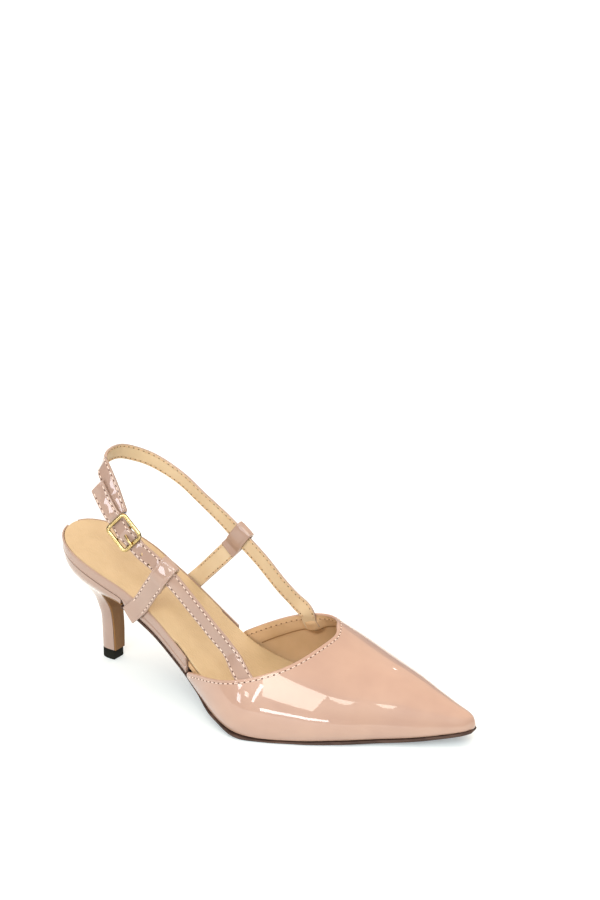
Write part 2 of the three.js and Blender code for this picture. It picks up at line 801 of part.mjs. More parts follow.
// A flat band along points. upAt gives the direction of its width, before it is squared.
function band(points, width, thickness, steps, upAt, skew = 0) {
  const curve = new THREE.CatmullRomCurve3(points, false, 'centripetal');
  const rings = [];
  for (let i = 0; i <= steps; i += 1) {
    const share = i / steps;
    const centre = curve.getPointAt(share);
    const tangent = curve.getTangentAt(share);
    const up = upAt(centre, share);
    up.addScaledVector(tangent, -up.dot(tangent)).normalize();
    const face = new THREE.Vector3().crossVectors(tangent, up);
    const corner = (a, b) => centre.clone()
      .addScaledVector(up, (a * width) / 2)
      .addScaledVector(face, (b * thickness) / 2)
      .addScaledVector(tangent, i === steps ? a * skew : 0);
    rings.push([corner(-1, -1), corner(-1, 1), corner(1, 1), corner(1, -1)]);
  }
  return loft(rings);
}

const underBar = buckleThickness / 2 + 1.6 * gap + strapThickness / 2;
const barAt = (buckleLength - buckleBar) / 2;
const overBar = -centreDrop + centreBar + gap + strapThickness / 2;
const layerStep = strapThickness + 2 * gap;

// A strap's end inside the vamp, lying on its inner face.
const rootDepth = wall + 4 * gap + strapThickness / 2;

function rootPoint({ at, girth }, side) {
  return upperInside(at * footbedLength, side, girth, rootDepth);
}

// The direction of a strap's width: flat on the vamp near its root, and leaning elsewhere.
function strapWidthAt({ at, girth }, side, centre) {
  const run = 6;
  const step = 0.06;
  const x = at * footbedLength;
  const wallUp = upperPoint(x + run, side, girth + step)
    .sub(upperPoint(x - run, side, girth - step)).normalize();
  const away = centre.distanceTo(rootPoint({ at, girth }, side));
  return wallUp.lerp(strapUp(centre), THREE.MathUtils.smoothstep(away, rootLay, rootReach));
}

function frontStrap() {
  const inBuckle = (along, { rise, across }) => onBuckle(
    along, mix(-underBar, overBar, rise), across * strapWidth);
  const points = [
    ...frontRootRows.map((row) => rootPoint(row, -1)),
    ...frontStrapRows.map(strapPoint),
    ...fastenedRows.map((row) => inBuckle(row.along * barAt, row)),
    inBuckle(tailLength, tailEnd),
  ];
  const widthAt = (centre) => (centre.distanceTo(buckleCentre) > 3 * buckleLength
    ? strapWidthAt(frontRootRows[0], -1, centre) : besideBuckle(centre));
  const strip = toSolid(band(points, strapWidth, strapThickness, 72, widthAt, tailSkew / 2));
  const deep = 3;
  const slotLength = slotFront + slotBack;
  const slot = new THREE.BoxGeometry(slotLength, slotWidth, 2 * deep);
  const cuts = [placeOnBuckle(slot, (slotBack - slotFront) / 2, 0)];
  for (let i = 1; i <= holeCount; i += 1) {
    const hole = new THREE.CylinderGeometry(holeSize / 2, holeSize / 2, 2 * deep, 8);
    hole.rotateX(Math.PI / 2);
    cuts.push(placeOnBuckle(hole, -barAt - holePitch * i, -underBar));
  }
  return fromSolid(cuts.reduce((solid, cut) => solid.subtract(toSolid(cut)), strip));
}

// Puts a shape drawn in the buckle's axes (X along, Y across, Z out) where the buckle is.
function placeOnBuckle(geometry, along, out) {
  geometry.translate(along, 0, out);
  const turn = new THREE.Matrix4().makeBasis(buckleAlong, buckleAcross, buckleOut);
  turn.setPosition(buckleCentre);
  geometry.applyMatrix4(turn);
  return geometry;
}

function backStrap() {
  const points = [
    ...backStartRows.map(({ along, across }) => onBuckle(
      along * barAt, -underBar - layerStep, across * strapWidth)),
    ...backStrapRows.map(strapPoint),
    ...backRootRows.map((row) => rootPoint(row, 1)),
  ];
  const root = backRootRows[backRootRows.length - 1];
  const widthAt = (centre) => (centre.y < 0
    ? besideBuckle(centre) : strapWidthAt(root, 1, centre));
  return band(points, strapWidth, strapThickness, 84, widthAt);
}

function elastic() {
  const turn = centreBar + gap + elasticThickness / 2;
  const underStrap = -underBar - strapThickness / 2 - 2 * gap - elasticThickness / 2;
  const underBack = underStrap - layerStep + gap;
  const points = [
    onBuckle(-turn, -centreDrop),
    onBuckle(-turn * 0.7, -centreDrop - turn * 0.72),
    onBuckle(0, -centreDrop - turn),
    ...elasticRows.map(({ along, sink, across }) => onBuckle(
      along * barAt, mix(-centreDrop - turn, underBack, sink), across * strapWidth)),
  ];
  const strip = toSolid(band(points, elasticWidth, elasticThickness, 30, () => buckleAcross.clone()));
  const slot = new THREE.BoxGeometry(2 * turn + 2.4, slotWidth, 8);
  return fromSolid(strip.subtract(toSolid(placeOnBuckle(slot, -0.6, -centreDrop))));
}

// Buckle

const buckleWidth = strapWidth + 2 * (buckleSideGap + buckleBar);

function roundedRectangle(shape, length, width, corner) {
  const x = length / 2;
  const y = width / 2;
  shape.moveTo(-x + corner, -y);
  shape.lineTo(x - corner, -y);
  shape.absarc(x - corner, -y + corner, corner, -Math.PI / 2, 0, false);
  shape.lineTo(x, y - corner);
  shape.absarc(x - corner, y - corner, corner, 0, Math.PI / 2, false);
  shape.lineTo(-x + corner, y);
  shape.absarc(-x + corner, y - corner, corner, Math.PI / 2, Math.PI, false);
  shape.lineTo(-x, -y + corner);
  shape.absarc(-x + corner, -y + corner, corner, Math.PI, 1.5 * Math.PI, false);
  return shape;
}

function buckleFrame() {
  const shape = roundedRectangle(new THREE.Shape(), buckleLength, buckleWidth, buckleCorner);
  const inside = roundedRectangle(new THREE.Path(), buckleLength - 2 * buckleBar,
    buckleWidth - 2 * buckleBar, buckleCorner - buckleBar / 2);
  shape.holes.push(inside);
  const ring = new THREE.ExtrudeGeometry(shape, {
    depth: buckleThickness - 2 * buckleBevel, bevelThickness: buckleBevel,
    bevelSize: buckleBevel, bevelOffset: -buckleBevel, bevelSegments: 1, curveSegments: 4,
  });
  ring.translate(0, 0, buckleBevel - buckleThickness / 2);
  const bar = new THREE.CylinderGeometry(centreBar, centreBar, buckleWidth - buckleBar, 12);
  bar.translate(0, 0, -centreDrop);
  const frame = toSolid(placeOnBuckle(ring, 0, 0)).add(toSolid(placeOnBuckle(bar, 0, 0)));
  return fromSolid(frame);
}

function bucklePin() {
  const eye = centreBar + gap;
  const outer = eye + prongThickness * 0.6;
  const ring = new THREE.Shape().absarc(0, -centreDrop, outer, 0, 2 * Math.PI, false);
  ring.holes.push(new THREE.Path().absarc(0, -centreDrop, eye, 0, 2 * Math.PI, true));
  const rest = buckleThickness / 2 + gap;
  const top = rest + prongThickness;
  const arm = new THREE.Shape([
    new THREE.Vector2(0, -centreDrop + eye + 0.1),
    new THREE.Vector2(-0.6, -centreDrop + eye + 0.1),
    new THREE.Vector2(-barAt + 1.2, rest),
    new THREE.Vector2(-barAt - 1.4, rest),
    new THREE.Vector2(-barAt - 1.6, rest + 0.5 * prongThickness),
    new THREE.Vector2(-barAt - 1.0, top),
    new THREE.Vector2(-barAt + 1.4, top),
    new THREE.Vector2(0, -centreDrop + outer),
  ]);
  const options = { depth: prongWidth, bevelEnabled: false, curveSegments: 16 };
  const solids = [ring, arm].map((shape) => {
    const piece = new THREE.ExtrudeGeometry(shape, options);
    piece.translate(0, 0, -prongWidth / 2);
    piece.rotateX(Math.PI / 2);
    return toSolid(placeOnBuckle(piece, 0, 0));
  });
  return fromSolid(solids[0].add(solids[1]));
}

// Keeper loops: a tab that rises from the waist's edge, folds over its strap and is sewn below.
function keeperLoop(rows, side, footShare) {
  const row = rows.findIndex(({ keeper }) => keeper);
  const crossing = strapPoint(rows[row]);
  const tangent = strapPoint(rows[row + 1]).sub(strapPoint(rows[row - 1])).normalize();
  if (tangent.x < 0) tangent.negate();
  const up = strapUp(crossing);
  up.addScaledVector(tangent, -up.dot(tangent)).normalize();
  const out = new THREE.Vector3().crossVectors(tangent, up).normalize();
  if (out.y * side < 0) out.negate();
  const at = (n, b) => crossing.clone().addScaledVector(out, n).addScaledVector(up, b);
  const clear = strapThickness / 2 + 2 * gap + tabThickness / 2;
  const edge = strapWidth / 2 + gap;
  const turn = edge + 0.7 * clear;
  const offset = rimStart + rimWidth + 3 * gap + tabThickness / 2;
  const onRim = (x, lift) => {
    const p = outline(x, side, offset);
    return new THREE.Vector3(p.x, p.y, footbedZ(x) + lift);
  };
  const footX = footShare * footbedLength;
  const rimX = footX + tabRun;
  const foot = onRim(footX, -waistEdge - tabHem);
  const rim = onRim(rimX, tabHem);
  const seam = at(0, -edge - tabDrop);
  const down = rim.clone().sub(seam).normalize();
  const sewn = (n, length) => seam.clone().addScaledVector(out, n * (tabThickness + gap) / 2)
    .addScaledVector(down, length);
  const points = [
    foot,
    rim,
    sewn(1, tabSeam),
    sewn(1, tabEase),
    at(clear, -edge + tabEase),
    at(clear, edge - tabEase),
    at(0.7 * clear, turn),
    at(0, edge + clear),
    at(-0.7 * clear, turn),
    at(-clear, edge - tabEase),
    at(-clear, -edge + tabEase),
    sewn(-1, tabEase),
    sewn(-1, tabSeam - tabHem),
  ];
  const edgeRun = onRim(rimX + tabWidth / 2, 0).sub(onRim(rimX - tabWidth / 2, 0)).normalize();
  return band(points, tabWidth, tabThickness, 64, (centre, share) => (
    edgeRun.clone().lerp(tangent, THREE.MathUtils.smoothstep(share, 0.2, 0.45))));
}

addPiece('outsole', 'sole', outsole());
addPiece('heel', 'patent', heel());
addPiece('heel_breast', 'breast', heelBreast());
addPiece('heel_tip', 'tip', heelTip());
addPiece('insole_board', 'patent', insoleBoard());
addPiece('sock_lining', 'lining', sockLining());
addPiece('vamp', 'patent', vamp());
addPiece('front_strap', 'patent', frontStrap());
addPiece('back_strap', 'patent', backStrap());
addPiece('elastic', 'elastic', elastic());
addPiece('buckle_frame', 'gold', buckleFrame());
addPiece('buckle_prong', 'gold', bucklePin());
addPiece('outer_loop', 'patent', keeperLoop(frontStrapRows, -1, outerFoot));
addPiece('inner_loop', 'patent', keeperLoop(backStrapRows, 1, innerFoot));

export default shoe;
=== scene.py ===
"""A right slingback pump, dressed over its CAD frame. Lengths in the tables and sizes are
millimetres in the last's own axes (X from the back of the footbed to the toe, +Y the inner
side, +Z up); to_frame() turns them into metres in the shared frame."""
import math

import bpy
import numpy as np
from mathutils import Matrix, Vector


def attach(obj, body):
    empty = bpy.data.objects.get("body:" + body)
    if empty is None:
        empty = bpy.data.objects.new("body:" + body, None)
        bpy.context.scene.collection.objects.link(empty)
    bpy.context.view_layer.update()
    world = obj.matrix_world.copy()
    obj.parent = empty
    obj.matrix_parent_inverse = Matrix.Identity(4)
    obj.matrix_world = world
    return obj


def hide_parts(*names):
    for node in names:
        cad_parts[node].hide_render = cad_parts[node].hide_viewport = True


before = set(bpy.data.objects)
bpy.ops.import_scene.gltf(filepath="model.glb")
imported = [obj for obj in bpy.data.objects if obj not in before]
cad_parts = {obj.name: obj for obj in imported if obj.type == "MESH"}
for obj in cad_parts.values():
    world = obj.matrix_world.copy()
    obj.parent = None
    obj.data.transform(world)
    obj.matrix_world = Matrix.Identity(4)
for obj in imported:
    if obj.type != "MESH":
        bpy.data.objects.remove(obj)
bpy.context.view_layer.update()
scene = bpy.context.scene

# Sizes of the last and footbed
FOOTBED_LENGTH = 240
SEAT_HEIGHT = 73.4
BALL_LEVEL = 7
TOE_SPRING = 6.9
BALL_HALF = 38.5
SWING = 13.7
SEAT_ROUND = 30.6
SEAT_FULLNESS = 2.22
TOE_ROUND = 4
TOE_END = FOOTBED_LENGTH - 2

# Sizes of the sole layers
GAP = 0.3
LAYER_GAP = 0.45
SOCK_THICKNESS = 1.8
RIM_START = 0.3
RIM_WIDTH = 1
SEAT_EDGE = 5.8
WAIST_EDGE = 9
BALL_EDGE = 5.1
OUTSOLE_THICKNESS = 2.2

# Sizes of the heel
HEEL_WING_END = 50
BREAST_FRONT = 28.2
TIP_HEIGHT = 5.5
TIP_DEPTH = 9.6
TIP_HALF = 4.2
NECK_DEPTH = 9.5
NECK_HALF = 4.8
NECK_MIDDLE = -0.9
HEEL_MIDDLE = -0.6
FLARE_START = 25
BREAST_COVER = 0.8

# Sizes of the vamp
WALL = 1.6
FEATHER_OFFSET = 1.8
WALL_BULGE = 1.6
VAMP_REAR = 98.3
THROAT_LIMIT = 172
INSTEP_HEIGHT = 50
TUCK_SHARE = 0.14
INNER_TOE_GAP = 7

# Sizes of the straps, keeper loops and buckle
STRAP_WIDTH = 8.4
STRAP_THICKNESS = 1.4
STRAP_TOP = SEAT_HEIGHT + 40
ANKLE_HALF = 32
ANKLE_AT = 70
STRAP_LEAN = 14
TAB_WIDTH = 10
TAB_THICKNESS = 1.3
BUCKLE_LENGTH = 17
BUCKLE_BAR = 2.1
BUCKLE_THICKNESS = 1.6
BUCKLE_WIDTH = STRAP_WIDTH + 2 * (1 + BUCKLE_BAR)
BUCKLE_CORNER = 3
CENTRE_BAR = 0.8
CENTRE_DROP = 1.4
PRONG_WIDTH = 1.5
PRONG_THICKNESS = 1.1
BUCKLE_PITCH = 43
BUCKLE_YAW = -2.3

# Stitches, seams and the facing
STITCH_PITCH = 3.0
STITCH_LENGTH = 2.2
STITCH_WIDTH = 0.5
STRAP_STITCH_WIDTH = 0.6
STITCH_HEIGHT = 0.2
STITCH_DIP = 0.12
STITCH_FLATNESS = 0.8
MARK_SIZE = 0.5
MARK_FLATNESS = 0.72
MARK_SIDES = 10
SEAM_MARGIN = 1.1
SEAM_GROOVE = 0.14
SEAM_LIFT = 0.02
TOPLINE_SEAM = 1.6
INSIDE_SEAM = 2.2
FACING_DEPTH = 8.6
FACING_STEP = 0.7
VAMP_MIDDLE = (150, -4, 12)

# The camera: degrees, millimetres of film, and metres in the shared frame
CAMERA_AZIMUTH = 29.497
CAMERA_ELEVATION = 16.346
CAMERA_ROLL = 0.14
CAMERA_PLACE = (0.501158, -0.676, 0.363324)
CAMERA_LENS = 65.61
CAMERA_FILM = 36
VIEW_END = 500

# The room: metres, degrees, and brightness as a reflection shows it
FLOOR_HALF = 40
SHOE_MIDDLE = (0.1, -0.02, 0.03)
SKY_LEAN = (0.0, 0.12, 0.99)
SKY_COLOUR = (0.97, 0.985, 1.0, 1)
SKY_RAMP = {"From Min": -0.1, "From Max": 0.95, "To Min": 0.16, "To Max": 1.05}
SUN_AZIMUTH = 110
SUN_ELEVATION = 68
SUN_WIDTH = 100
SUN_ENERGY = 1.7
SUN_COLOUR = (1.0, 0.6, 0.3)
CREAM = (0.95, 0.95, 0.86)
COOL = (0.93, 0.93, 1.0)
BLUISH = (0.9, 0.9, 1.0)
WARM = (1.0, 0.97, 0.93)
WHITE = (1, 1, 1)

SHIFT = np.array([TIP_DEPTH / 2 - BREAST_FRONT, -HEEL_MIDDLE, 0])


def table(columns, rows):
    return dict(zip(columns, np.array(rows, float).T))


LAST_ROWS = table(['at', 'rise', 'spring', 'half', 'mid'], [
    (0.0, 1.0, 0, 0.647, 0.02), (0.0625, 0.908, 0, 0.647, 0.01), (0.1458, 0.796, 0, 0.647, -0.09),
    (0.2167, 0.694, 0, 0.6, -0.24), (0.2917, 0.563, 0, 0.583, -0.44),
    (0.3667, 0.398, 0, 0.612, -0.67), (0.4375, 0.233, 0, 0.68, -0.885),
    (0.5, 0.103, 0, 0.854, -1.02), (0.5625, 0.018, 0, 0.985, -1.0), (0.625, 0, 0, 1.0, -0.71),
    (0.6875, 0, 0.03, 0.972, -0.356), (0.7583, 0, 0.145, 0.837, -0.121),
    (0.8333, 0, 0.26, 0.589, -0.044), (0.8958, 0, 0.42, 0.393, -0.04),
    (0.95, 0, 0.667, 0.21, -0.02), (1.0, 0, 1.0, 0.055, 0.02),
])
UPPER_ROWS = table(['at', 'ridge', 'mid'], [
    (0.4, 1.35, 0.2), (0.5, 1.25, 0.2), (0.6, 1.06, 0.2), (0.655, 0.93, 0.18),
    (0.69, 0.846, 0.15), (0.72, 0.77, 0.12), (0.76, 0.68, 0.08), (0.8, 0.62, 0.05),
    (0.845, 0.56, 0.02), (0.9, 0.456, 0), (0.95, 0.366, 0), (0.985, 0.304, 0), (1.0, 0.25, 0),
])
TOPLINE_ROWS = table(['at', 'outer', 'inner'], [
    (0.4, 0.41, 0.45), (0.48, 0.5, 0.64), (0.54, 0.56, 0.76), (0.6, 0.64, 0.84), (0.65, 0.73, 0.88),
    (0.69, 0.86, 0.9), (0.72, 0.96, 0.95),
])
BREAST_ROWS = table(['forward', 'up'], [
    (0.564, 0.079), (0.564, 0.272), (0.548, 0.409), (0.528, 0.48), (0.53, 0.535), (0.575, 0.592),
    (0.67, 0.628), (0.8, 0.64), (0.92, 0.63), (1.0, 0.609),
])
FLARE_ROWS = table(['at', 'back', 'front'], [
    (0, 0, 0), (0.1, 0.07, 0.005), (0.2, 0.135, 0.015), (0.3, 0.24, 0.03), (0.4, 0.4, 0.08),
    (0.5, 0.57, 0.18), (0.6, 0.71, 0.36), (0.7, 0.84, 0.63), (0.8, 0.91, 0.88), (0.9, 0.97, 0.99),
    (1, 1, 1),
])
FRONT_STRAP_ROWS = [
    (0.5225, -1.281, 0.3013), (0.4692, -1.181, 0.3818), (0.4139, -1.081, 0.4681),
    (0.36, -1.0, 0.554), (0.337, -0.99, 0.589), (0.314, -0.984, 0.625),
]
FRONT_KEEPER = 4
OUTER_FOOT = 0.236
BACK_STRAP_ROWS = [
    (0.1583, -0.695, 1.024), (0.138, -0.5, 1.025), (0.1255, -0.3, 1.033), (0.1175, -0.03, 1.036),
    (0.1167, 0.25, 1.025), (0.1324, 0.5, 0.996), (0.1557, 0.64, 0.968), (0.1873, 0.734, 0.928),
    (0.2296, 0.797, 0.869), (0.2684, 0.834, 0.799), (0.3382, 0.844, 0.686), (0.3751, 0.8375, 0.619),
    (0.41, 0.812, 0.562), (0.4357, 0.787, 0.52), (0.4893, 0.7312, 0.4196), (0.528, 0.6812, 0.3624),
    (0.5667, 0.578, 0.3214),
]
BACK_KEEPER = 11
INNER_FOOT = 0.244
INNER_LEAN_ROWS = table(['at', 'lean'], [
    (0.36, 4), (0.43, -10), (0.52, -10), (0.9, STRAP_LEAN), (1.1, STRAP_LEAN),
])
FASTENED_ROWS = [
    (-1.61, 0.04, -0.036), (-1, 0, 0), (-0.5, 0.38, 0), (0, 1, 0), (0.5, 0.38, 0), (1, 0, 0),
    (1.61, 0.08, 0), (2.68, 0, -0.167), (3.758, 0.17, -0.44),
]
BACK_START_ROWS = [(1.29, -0.393), (2.215, -0.702), (2.82, -0.905)]
ELASTIC_ROWS = [(0.47, 0.25, -0.083), (1, 0.45, -0.226), (1.235, 1, -0.35), (2.01, 1, -0.62),
                (2.68, 1.04, -0.857)]
FRONT_ROOT_ROWS = [(0.592, 0.345), (0.57, 0.385)]
BACK_ROOT_ROWS = [(0.5725, 0.487), (0.578, 0.435)]
FEATHER_ROWS = table(['at', 'depth'], [
    (0.2, 1), (0.4, 1), (0.47, 0.62), (0.55, 0), (1, 0),
])


# Curve helpers

def through(rows, column, at):
    """Height of a smooth curve through one column of a table, without overshoot."""
    x, y = rows['at'], rows[column]
    at = np.asarray(at, float)
    width = np.diff(x)
    step = np.diff(y) / width
    slope = np.concatenate([step[:1], np.zeros(len(y) - 2), step[-1:]])
    product = step[:-1] * step[1:]
    total = np.where(product > 0, step[:-1] + step[1:], 1)
    slope[1:-1] = np.where(product > 0, 2 * product / total, 0)
    i = np.clip(np.searchsorted(x, at, side='left') - 1, 0, len(width) - 1)
    t = np.clip((at - x[i]) / width[i], 0, 1)
    u = 1 - t
    value = (y[i] * u * u * (1 + 2 * t) + y[i + 1] * t * t * (3 - 2 * t)
             + slope[i] * width[i] * t * u * u - slope[i + 1] * width[i] * t * t * u)
    value = value + slope[0] * np.minimum(at - x[0], 0)
    return value + slope[-1] * np.maximum(at - x[-1], 0)


def mix(a, b, share):
    return a + (b - a) * share


def smooth(value, low, high):
    t = np.clip((np.asarray(value, float) - low) / (high - low), 0, 1)
    return t * t * (3 - 2 * t)


def squared(value, power):
    """A sine or cosine made fuller, which turns a circle into a rounded square."""
    return np.sign(value) * np.abs(value) ** power


def unit(v):
    return v / np.maximum(np.linalg.norm(v, axis=-1, keepdims=True), 1e-12)


def stack(*parts):
    return np.stack(np.broadcast_arrays(*parts), -1)


def spline(points, count):
    """Points spread evenly along a centripetal curve through the given points."""
    p = np.asarray(points, float)
    p = np.vstack([2 * p[0] - p[1], p, 2 * p[-1] - p[-2]])
    knot = np.linalg.norm(np.diff(p, axis=0), axis=1) ** 0.5
    t = np.linspace(0, 1, 60)[:, None]
    fine = []
    for i in range(1, len(p) - 2):
        a, b, c = knot[i - 1:i + 2]
        start = ((p[i] - p[i - 1]) / a - (p[i + 1] - p[i - 1]) / (a + b) + (p[i + 1] - p[i]) / b) * b
        end = ((p[i + 1] - p[i]) / b - (p[i + 2] - p[i]) / (b + c) + (p[i + 2] - p[i + 1]) / c) * b
        fine.append((2 * t ** 3 - 3 * t ** 2 + 1) * p[i] + (t ** 3 - 2 * t ** 2 + t) * start
                    + (3 * t ** 2 - 2 * t ** 3) * p[i + 1] + (t ** 3 - t ** 2) * end)
    return evenly(np.vstack(fine), count)


def lengths(line):
    return np.concatenate([[0], np.cumsum(np.linalg.norm(np.diff(line, axis=0), axis=1))])


def at_lengths(line, marks):
    run = lengths(line)
    return np.stack([np.interp(marks, run, line[:, k]) for k in range(line.shape[1])], -1)


def evenly(line, count):
    return at_lengths(line, np.linspace(0, lengths(line)[-1], count))


def rounded(points, radius, steps=4):
    """A chain of points, stacked on the first axis, with its inner corners turned into curves."""
    points = [np.asarray(p, float) for p in points]
    out = [points[0]]
    t = np.linspace(0, 1, steps)
    for before, corner, after in zip(points, points[1:], points[2:]):
        ends = []
        for other in (before, after):
            length = np.linalg.norm(other - corner, axis=-1, keepdims=True)
            ends.append(corner + (other - corner) * np.minimum(radius / np.maximum(length, 1e-9), 0.5))
        for s in t:
            out.append((1 - s) ** 2 * ends[0] + 2 * s * (1 - s) * corner + s * s * ends[1])
    return np.stack(out + [points[-1]])


# The last

def footbed_z(x):
    at = x / FOOTBED_LENGTH
    return (BALL_LEVEL + through(LAST_ROWS, 'rise', at) * (SEAT_HEIGHT - BALL_LEVEL)
            + through(LAST_ROWS, 'spring', at) * TOE_SPRING)


def footbed_half(x):
    back = np.maximum(0, 1 - x / SEAT_ROUND)
    toe = np.clip((x - TOE_END + TOE_ROUND) / TOE_ROUND, 0, 1)
    round_ = (np.maximum(0, 1 - back ** SEAT_FULLNESS) ** (1 / SEAT_FULLNESS)
              * np.sqrt(np.maximum(0, 1 - toe ** 2)))
    return through(LAST_ROWS, 'half', x / FOOTBED_LENGTH) * BALL_HALF * round_


def footbed_mid(x):
    return through(LAST_ROWS, 'mid', x / FOOTBED_LENGTH) * SWING


def outline(x, side, offset):
    """X and Y on the footbed's outline, moved outwards. side is -1 outer, +1 inner."""
    step = 0.02
    edge = lambda at: footbed_mid(at) + side * footbed_half(at)
    slope = (edge(x + step) - edge(x - step)) / (2 * step)
    size = np.hypot(1, slope)
    return x - side * slope * offset / size, edge(x) + side * offset / size


def feather_depth(x):
    return mix(BALL_EDGE, WAIST_EDGE, through(FEATHER_ROWS, 'depth', x / FOOTBED_LENGTH))


def feather_z(x):
    return footbed_z(x) - feather_depth(x)


# Mesh helpers

def to_frame(points):
    return (np.asarray(points, float) + SHIFT) / 1000


def new_mesh(name, points, faces):
    mesh = bpy.data.meshes.new(name)
    mesh.from_pydata(to_frame(points).tolist(), [], [tuple(int(i) for i in f) for f in faces])
    return mesh


def new_object(name, data):
    obj = bpy.data.objects.new(name, data)
    scene.collection.objects.link(obj)
    return obj


def piece(name, points, faces, materials, slot, replaces=(), numbers=None):
    """A shown piece: a mesh in the shared frame that rides on the one body."""
    mesh = new_mesh(name, points, faces)
    for material in materials:
        mesh.materials.append(material)
    if numbers is not None:
        mesh.polygons.foreach_set("material_index", np.asarray(numbers, np.int32))
    mesh.shade_smooth()
    mesh.update()
    obj = new_object(name, mesh)
    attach(obj, "root")
    if replaces:
        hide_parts(*replaces)
    return obj


def sheet_piece(name, grid, material, slot, replaces=()):
    """A piece that is one open sheet, from a grid of points."""
    faces = grid_faces(*grid.shape[:2])
    return piece(name, grid.reshape(-1, 3), faces, [material], slot, replaces)


def tube_piece(name, rings, materials, slot, node, lining=None):
    """A piece that is one closed body through rings of points, in place of a node."""
    points, faces, numbers = tube(rings, lining)
    return piece(name, points, faces, materials, slot, [node], numbers)


def grid_faces(rows, columns, around=False):
    i, j = np.meshgrid(np.arange(rows - 1), np.arange(columns if around else columns - 1),
                       indexing='ij')
    nxt = (j + 1) % columns
    return np.stack([i * columns + j, i * columns + nxt, (i + 1) * columns + nxt,
                     (i + 1) * columns + j], -1).reshape(-1, 4)


def tube(rings, slots=None):
    """Points, faces and material numbers of a closed body through rings of points."""
    rings = np.asarray(rings)
    rows, columns = rings.shape[:2]
    points = rings.reshape(-1, 3)
    faces = [list(f) for f in grid_faces(rows, columns, True)]
    numbers = [0] * len(faces) if slots is None else list(np.tile(slots, rows - 1))
    for first in (0, (rows - 1) * columns):
        order = [first + k for k in range(columns)]
        faces.append(order if first else order[::-1])
        numbers.append(0)
    volume = np.einsum('ij,ij->i', points[[f[0] for f in faces]],
                       np.cross(points[[f[1] for f in faces]], points[[f[2] for f in faces]])).sum()
    if volume < 0:
        faces = [f[::-1] for f in faces]
    return points, faces, numbers


def blur(grid, passes, axes=(0, 1)):
    """Evens out a grid of points, leaving its borders where they are."""
    grid = grid.copy()
    for _ in range(passes):
        if 0 in axes:
            grid[1:-1] = grid[1:-1] * 0.5 + (grid[:-2] + grid[2:]) * 0.25
        if 1 in axes:
            grid[:, 1:-1] = grid[:, 1:-1] * 0.5 + (grid[:, :-2] + grid[:, 2:]) * 0.25
    return grid


def sharpen(obj, degrees):
    obj.data.set_sharp_from_angle(angle=math.radians(degrees))


def cut(obj, cutter, operation):
    """Applies a cut or an overlap with another closed mesh to obj, then drops the other one."""
    modifier = obj.modifiers.new("cut", 'BOOLEAN')
    modifier.operation = operation
    modifier.solver = 'EXACT'
    modifier.object = cutter
    evaluated = obj.evaluated_get(bpy.context.evaluated_depsgraph_get())
    mesh = bpy.data.meshes.new_from_object(evaluated)
    obj.modifiers.clear()
    old = obj.data
    obj.data = mesh
    bpy.data.meshes.remove(old)
    bpy.data.objects.remove(cutter, do_unlink=True)


def solid(points, faces):
    """A closed mesh used only as a cutter."""
    return new_object("cutter", new_mesh("cutter", points, faces))


def prism(line, half):
    """A cutter whose outline is drawn in X and Z and which runs across the shoe."""
    line = np.asarray(line, float)
    count = len(line)
    points = np.vstack([stack(line[:, 0], side * half, line[:, 1]) for side in (-1, 1)])
    faces = [list(range(count))[::-1], [count + k for k in range(count)]]
    faces += [[k, (k + 1) % count, count + (k + 1) % count, count + k] for k in range(count)]
    a, b = line, np.roll(line, -1, 0)
    if (a[:, 0] * b[:, 1] - b[:, 0] * a[:, 1]).sum() < 0:
        faces = [f[::-1] for f in faces]
    return solid(points, [f[::-1] for f in faces])


# Materials

def linear(*channels):
    """A colour given in the usual 0 to 255 screen values."""
    share = np.array(channels) / 255
    low = share / 12.92
    high = ((share + 0.055) / 1.055) ** 2.4
    return tuple(np.where(share <= 0.04045, low, high)) + (1,)


